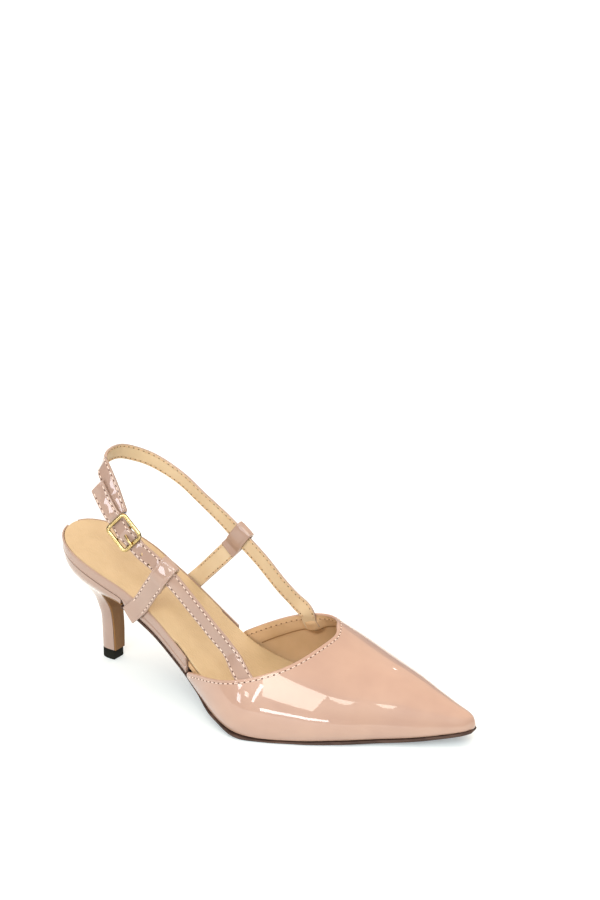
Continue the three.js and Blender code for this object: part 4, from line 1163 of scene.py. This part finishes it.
def front_strap():
    points = [root_point(row, -1) for row in FRONT_ROOT_ROWS]
    points += [strap_point(row) for row in FRONT_STRAP_ROWS]
    points += [on_buckle(along * BAR_AT, mix(-UNDER_BAR, OVER_BAR, rise), across * STRAP_WIDTH)
               for along, rise, across in FASTENED_ROWS]

    def up_at(centre, share):
        if np.linalg.norm(centre - BUCKLE_CENTRE) > 3 * BUCKLE_LENGTH:
            return strap_width_at(FRONT_ROOT_ROWS[0], -1, centre)
        return beside_buckle(centre)
    band = Band(points, STRAP_WIDTH, STRAP_THICKNESS, 420, up_at, skew=1.4)
    obj = band.build("front_strap_leather", "patent", "front_strap")
    holes = [on_buckle(-BAR_AT - 7 * i, -UNDER_BAR) for i in (1, 2)]
    cut(obj, round_cutter(holes, BUCKLE_OUT, 0.95), 'DIFFERENCE')
    sharpen(obj, 50)
    run = (4, band.run[-1] - 1.5)
    band.sew_edges("front_strap", run, run)


def back_strap():
    level = -UNDER_BAR - LAYER_STEP
    points = [on_buckle(along * BAR_AT, level, across * STRAP_WIDTH)
              for along, across in BACK_START_ROWS]
    points += [strap_point(row) for row in BACK_STRAP_ROWS]
    points += [root_point(row, 1) for row in BACK_ROOT_ROWS]

    def up_at(centre, share):
        if centre[1] < 0:
            return beside_buckle(centre)
        return strap_width_at(BACK_ROOT_ROWS[-1], 1, centre)
    band = Band(points, STRAP_WIDTH, STRAP_THICKNESS, 560, up_at)
    band.build("back_strap_leather", "patent", "back_strap")
    run = (1.5, band.run[-1] - 6)
    band.sew_edges("back_strap", run, run)


def keeper_loop(name, rows, keeper, side, foot_share):
    """A tab that rises from the rim, folds round a strap and is sewn to itself below it."""
    crossing = strap_point(rows[keeper])
    tangent = unit(strap_point(rows[keeper + 1]) - strap_point(rows[keeper - 1]))
    tangent = tangent * (1 if tangent[0] >= 0 else -1)
    up = strap_up(crossing)
    up = unit(up - up.dot(tangent) * tangent)
    out = unit(np.cross(tangent, up))
    out = out * (1 if out[1] * side > 0 else -1)
    at = lambda n, b: crossing + out * n + up * b
    clear = STRAP_THICKNESS / 2 + 2 * GAP + TAB_THICKNESS / 2
    edge = STRAP_WIDTH / 2 + GAP
    turn = edge + 0.7 * clear
    offset = RIM_START + RIM_WIDTH + 3 * GAP + TAB_THICKNESS / 2

    def on_rim(x, lift):
        rim_x, rim_y = outline(np.array(float(x)), side, offset)
        return np.array([float(rim_x), float(rim_y), float(footbed_z(np.array(float(x)))) + lift])
    foot_x = foot_share * FOOTBED_LENGTH
    rim_x = foot_x + 8
    rim = on_rim(rim_x, 1)
    seam = at(0, -edge - 2.2)
    down = unit(rim - seam)
    sewn = lambda n, length: seam + out * n * (TAB_THICKNESS + GAP) / 2 + down * length
    points = [on_rim(foot_x, -WAIST_EDGE - 1), rim, sewn(1, 5), sewn(1, 0.5), at(clear, -edge + 0.4),
              at(clear, edge - 0.5), at(0.7 * clear, turn), at(0, edge + clear),
              at(-0.7 * clear, turn), at(-clear, edge - 0.5), at(-clear, -edge + 0.4),
              sewn(-1, 0.5), sewn(-1, 4)]
    edge_run = unit(on_rim(rim_x + TAB_WIDTH / 2, 0) - on_rim(rim_x - TAB_WIDTH / 2, 0))
    band = Band(points, TAB_WIDTH, TAB_THICKNESS, 300,
                lambda centre, share: mix(edge_run, tangent, smooth(share, 0.2, 0.45)),
                outward=side)
    band.build(f"{name}_leather", "patent", name)
    start = float(band.run[np.argmin(np.linalg.norm(band.line - rim, axis=1))])
    stop = float(band.run[np.argmin(np.linalg.norm(band.line - sewn(1, 0.5), axis=1))])
    band.sew_edges(name, (start - 2, stop + 1.5), (start + 3, stop - 1))


# Elastic and buckle

def elastic():
    turn = CENTRE_BAR + GAP + 0.45
    under = -UNDER_BAR - STRAP_THICKNESS / 2 - 2 * GAP - 0.45
    back = under - LAYER_STEP + GAP
    low = -CENTRE_DROP - turn
    points = [on_buckle(-turn, -CENTRE_DROP), on_buckle(-turn * 0.7, mix(-CENTRE_DROP, low, 0.72)),
              on_buckle(0, low)]
    points += [on_buckle(along * BAR_AT, mix(low, back, sink), across * STRAP_WIDTH)
               for along, sink, across in ELASTIC_ROWS]
    band = Band(points, 7, 0.9, 160, lambda centre, share: BUCKLE_ACROSS)
    band.build("elastic_web", "elastic", "elastic", (ELASTIC, ELASTIC), crown=0.04)


def buckle_frame():
    """The frame: a rounded bar swept round a rounded rectangle, and a bar across its middle."""
    half_x, half_y = BAR_AT, (BUCKLE_WIDTH - BUCKLE_BAR) / 2
    corner = BUCKLE_CORNER - BUCKLE_BAR / 2
    turn = np.linspace(0, math.pi / 2, 12)
    path, outward = [], []
    for cx, cy, start in ((1, 1, 0), (-1, 1, 1), (-1, -1, 2), (1, -1, 3)):
        angle = turn + start * math.pi / 2
        way = stack(np.cos(angle), np.sin(angle))
        path.append(np.array([cx * (half_x - corner), cy * (half_y - corner)]) + corner * way)
        outward.append(way)
    path, outward = np.vstack(path), np.vstack(outward)
    around = np.linspace(0, 2 * math.pi, 28, endpoint=False)
    side = squared(np.cos(around), 0.72) * BUCKLE_BAR / 2
    rise = squared(np.sin(around), 0.72) * BUCKLE_THICKNESS / 2
    flat = path[:, None, :] + outward[:, None, :] * side[None, :, None]
    rings = on_buckle(flat[..., 0], rise[None, :] + 0 * flat[..., 0], flat[..., 1])
    rows, columns = rings.shape[:2]
    faces = grid_faces(rows + 1, columns, True) % (rows * columns)
    points = rings.reshape(-1, 3)
    spots = np.linspace(-1, 1, 9) * (BUCKLE_WIDTH / 2 - BUCKLE_BAR * 0.6)
    across, angle = np.meshgrid(spots, np.linspace(0, 2 * math.pi, 20, endpoint=False), indexing='ij')
    bar = on_buckle(CENTRE_BAR * np.cos(angle), -CENTRE_DROP + CENTRE_BAR * np.sin(angle), across)
    bar_points, bar_faces, numbers = tube(bar)
    # Upright faces of the frame take the dark gold: painted shade.
    upright = np.abs(np.sin(around + math.pi / columns)) < 0.5
    numbers = list(np.tile(upright.astype(int), rows)) + numbers
    faces = [list(f) for f in faces] + [[i + len(points) for i in f] for f in bar_faces]
    piece("buckle_frame_metal", np.vstack([points, bar_points]), faces, [GOLD, SHADED_GOLD], "buckle",
          ["buckle_frame"], numbers)


def buckle_prong():
    """The prong: an eye round the middle bar, then an arm to the far end of the frame."""
    radius = CENTRE_BAR + GAP + PRONG_THICKNESS * 0.3
    turn = np.radians(np.linspace(-70, -345, 24))
    eye = stack(-radius * np.sin(turn), -CENTRE_DROP + radius * np.cos(turn))
    rest = BUCKLE_THICKNESS / 2 + GAP + PRONG_THICKNESS / 2
    arm = np.array([(-0.9, 0.25), (-3.2, rest - 0.35), (-BAR_AT + 1.4, rest + 0.05), (-BAR_AT, rest),
                    (-BAR_AT - 1.2, rest - 0.25)])
    flat = spline(np.pad(np.vstack([eye, arm]), ((0, 0), (0, 1))), 90)
    line = on_buckle(flat[:, 0], flat[:, 1])
    tangent = unit(np.gradient(line, axis=0))
    out = unit(np.cross(BUCKLE_ACROSS, tangent))
    share = lengths(line) / lengths(line)[-1]
    width = PRONG_WIDTH * mix(1, 0.72, smooth(share, 0.5, 1))
    thick = PRONG_THICKNESS * mix(0.62, 1, smooth(share, 0.5, 0.7))
    close = np.sqrt(np.clip((1 - share) / 0.035, 0.02, 1))
    angle = np.linspace(0, 2 * math.pi, 16, endpoint=False)
    sideways = BUCKLE_ACROSS * (width * close / 2)[:, None]
    outward = out * (thick * close / 2)[:, None]
    rings = np.stack([line + sideways * squared(math.cos(a), 0.7) + outward * squared(math.sin(a), 0.7)
                      for a in angle], 1)
    tube_piece("buckle_prong_metal", rings, [GOLD], "buckle", "buckle_prong")


# Camera, floor and light

def camera():
    data = bpy.data.cameras.new("camera")
    data.lens = CAMERA_LENS
    data.sensor_width = CAMERA_FILM
    data.clip_end = VIEW_END
    obj = new_object("camera", data)
    azimuth, tilt, roll = (math.radians(angle) for angle in
                           (CAMERA_AZIMUTH, 90 - CAMERA_ELEVATION, CAMERA_ROLL))
    turn = (Matrix.Rotation(azimuth, 4, 'Z') @ Matrix.Rotation(tilt, 4, 'X')
            @ Matrix.Rotation(roll, 4, 'Z'))
    obj.matrix_world = Matrix.Translation(CAMERA_PLACE) @ turn
    scene.camera = obj


def floor():
    mesh = bpy.data.meshes.new("floor")
    corners = [(x * FLOOR_HALF, y * FLOOR_HALF, 0) for x, y in ((-1, -1), (1, -1), (1, 1), (-1, 1))]
    mesh.from_pydata(corners, [], [(0, 1, 2, 3)])
    mesh.materials.append(floor_look())
    new_object("floor", mesh)


def toward(azimuth, elevation):
    """The direction from the shoe to a place round it, in degrees."""
    a, e = math.radians(azimuth), math.radians(elevation)
    return Vector((math.cos(a) * math.cos(e), math.sin(a) * math.cos(e), math.sin(e)))


def softbox(name, azimuth, elevation, distance, width, height, radiance, colour, turn):
    """A soft light that faces the shoe, with the brightness that its reflection shows."""
    data = bpy.data.lights.new(name, 'AREA')
    data.shape = 'RECTANGLE'
    data.size = width
    data.size_y = height
    data.energy = radiance * math.pi * width * height
    data.color = colour
    obj = new_object(name, data)
    way = toward(azimuth, elevation)
    obj.location = Vector(SHOE_MIDDLE) + way * distance
    face = (-way).to_track_quat('-Z', 'Y').to_matrix()
    obj.rotation_euler = (face @ Matrix.Rotation(math.radians(turn), 3, 'Z')).to_euler()


def sky():
    """A pale room that is brighter overhead than at the sides."""
    world = bpy.data.worlds.new("room")
    scene.world = world
    world.use_nodes = True
    tree = world.node_tree
    background = tree.nodes["Background"]
    place = tree.nodes.new("ShaderNodeTexCoord")
    lean = tree.nodes.new("ShaderNodeVectorMath")
    lean.operation = 'DOT_PRODUCT'
    lean.inputs[1].default_value = SKY_LEAN
    ramp = tree.nodes.new("ShaderNodeMapRange")
    for socket, value in SKY_RAMP.items():
        ramp.inputs[socket].default_value = value
    tree.links.new(place.outputs["Generated"], lean.inputs[0])
    tree.links.new(lean.outputs["Value"], ramp.inputs["Value"])
    tree.links.new(ramp.outputs["Result"], background.inputs["Strength"])
    background.inputs["Color"].default_value = SKY_COLOUR


def sun():
    data = bpy.data.lights.new("sun", 'SUN')
    data.energy = SUN_ENERGY
    data.angle = math.radians(SUN_WIDTH)
    data.color = SUN_COLOUR
    way = toward(SUN_AZIMUTH, SUN_ELEVATION)
    new_object("sun", data).rotation_euler = (-way).to_track_quat('-Z', 'Y').to_euler()


# Each row: name, azimuth, elevation, distance, width, height, radiance, colour, turn
SOFTBOX_ROWS = [
    ("front_box", -65.2, 39, 1.6, 0.49, 1.0, 7.5, CREAM, -16),
    ("strip_low", -71, 5, 1.5, 0.6, 0.12, 14, COOL, 0),
    ("strip_side", -84, 25, 1.5, 0.07, 0.7, 14, COOL, -22),
    ("strip_top", -97, 29, 1.5, 0.85, 0.06, 12, COOL, 40),
    ("strap_box", -109, 10, 1.6, 0.16, 0.22, 11, BLUISH, 0),
    ("loop_box", -97, 18, 1.6, 0.15, 0.15, 9, WARM, 0),
    ("back_line", 97, 38, 1.6, 0.02, 0.35, 8, WHITE, 0),
]


def lights():
    sky()
    sun()
    for row in SOFTBOX_ROWS:
        softbox(*row)
    scene.view_settings.view_transform = 'Standard'


camera()
floor()
lights()
sock_lining()
insole_board()
outsole()
heel()
heel_tip()
outer, inner = vamp()
topline_seams(outer, inner)
front_strap()
back_strap()
keeper_loop("outer_loop", FRONT_STRAP_ROWS, FRONT_KEEPER, -1, OUTER_FOOT)
keeper_loop("inner_loop", BACK_STRAP_ROWS, BACK_KEEPER, 1, INNER_FOOT)
elastic()
buckle_frame()
buckle_prong()
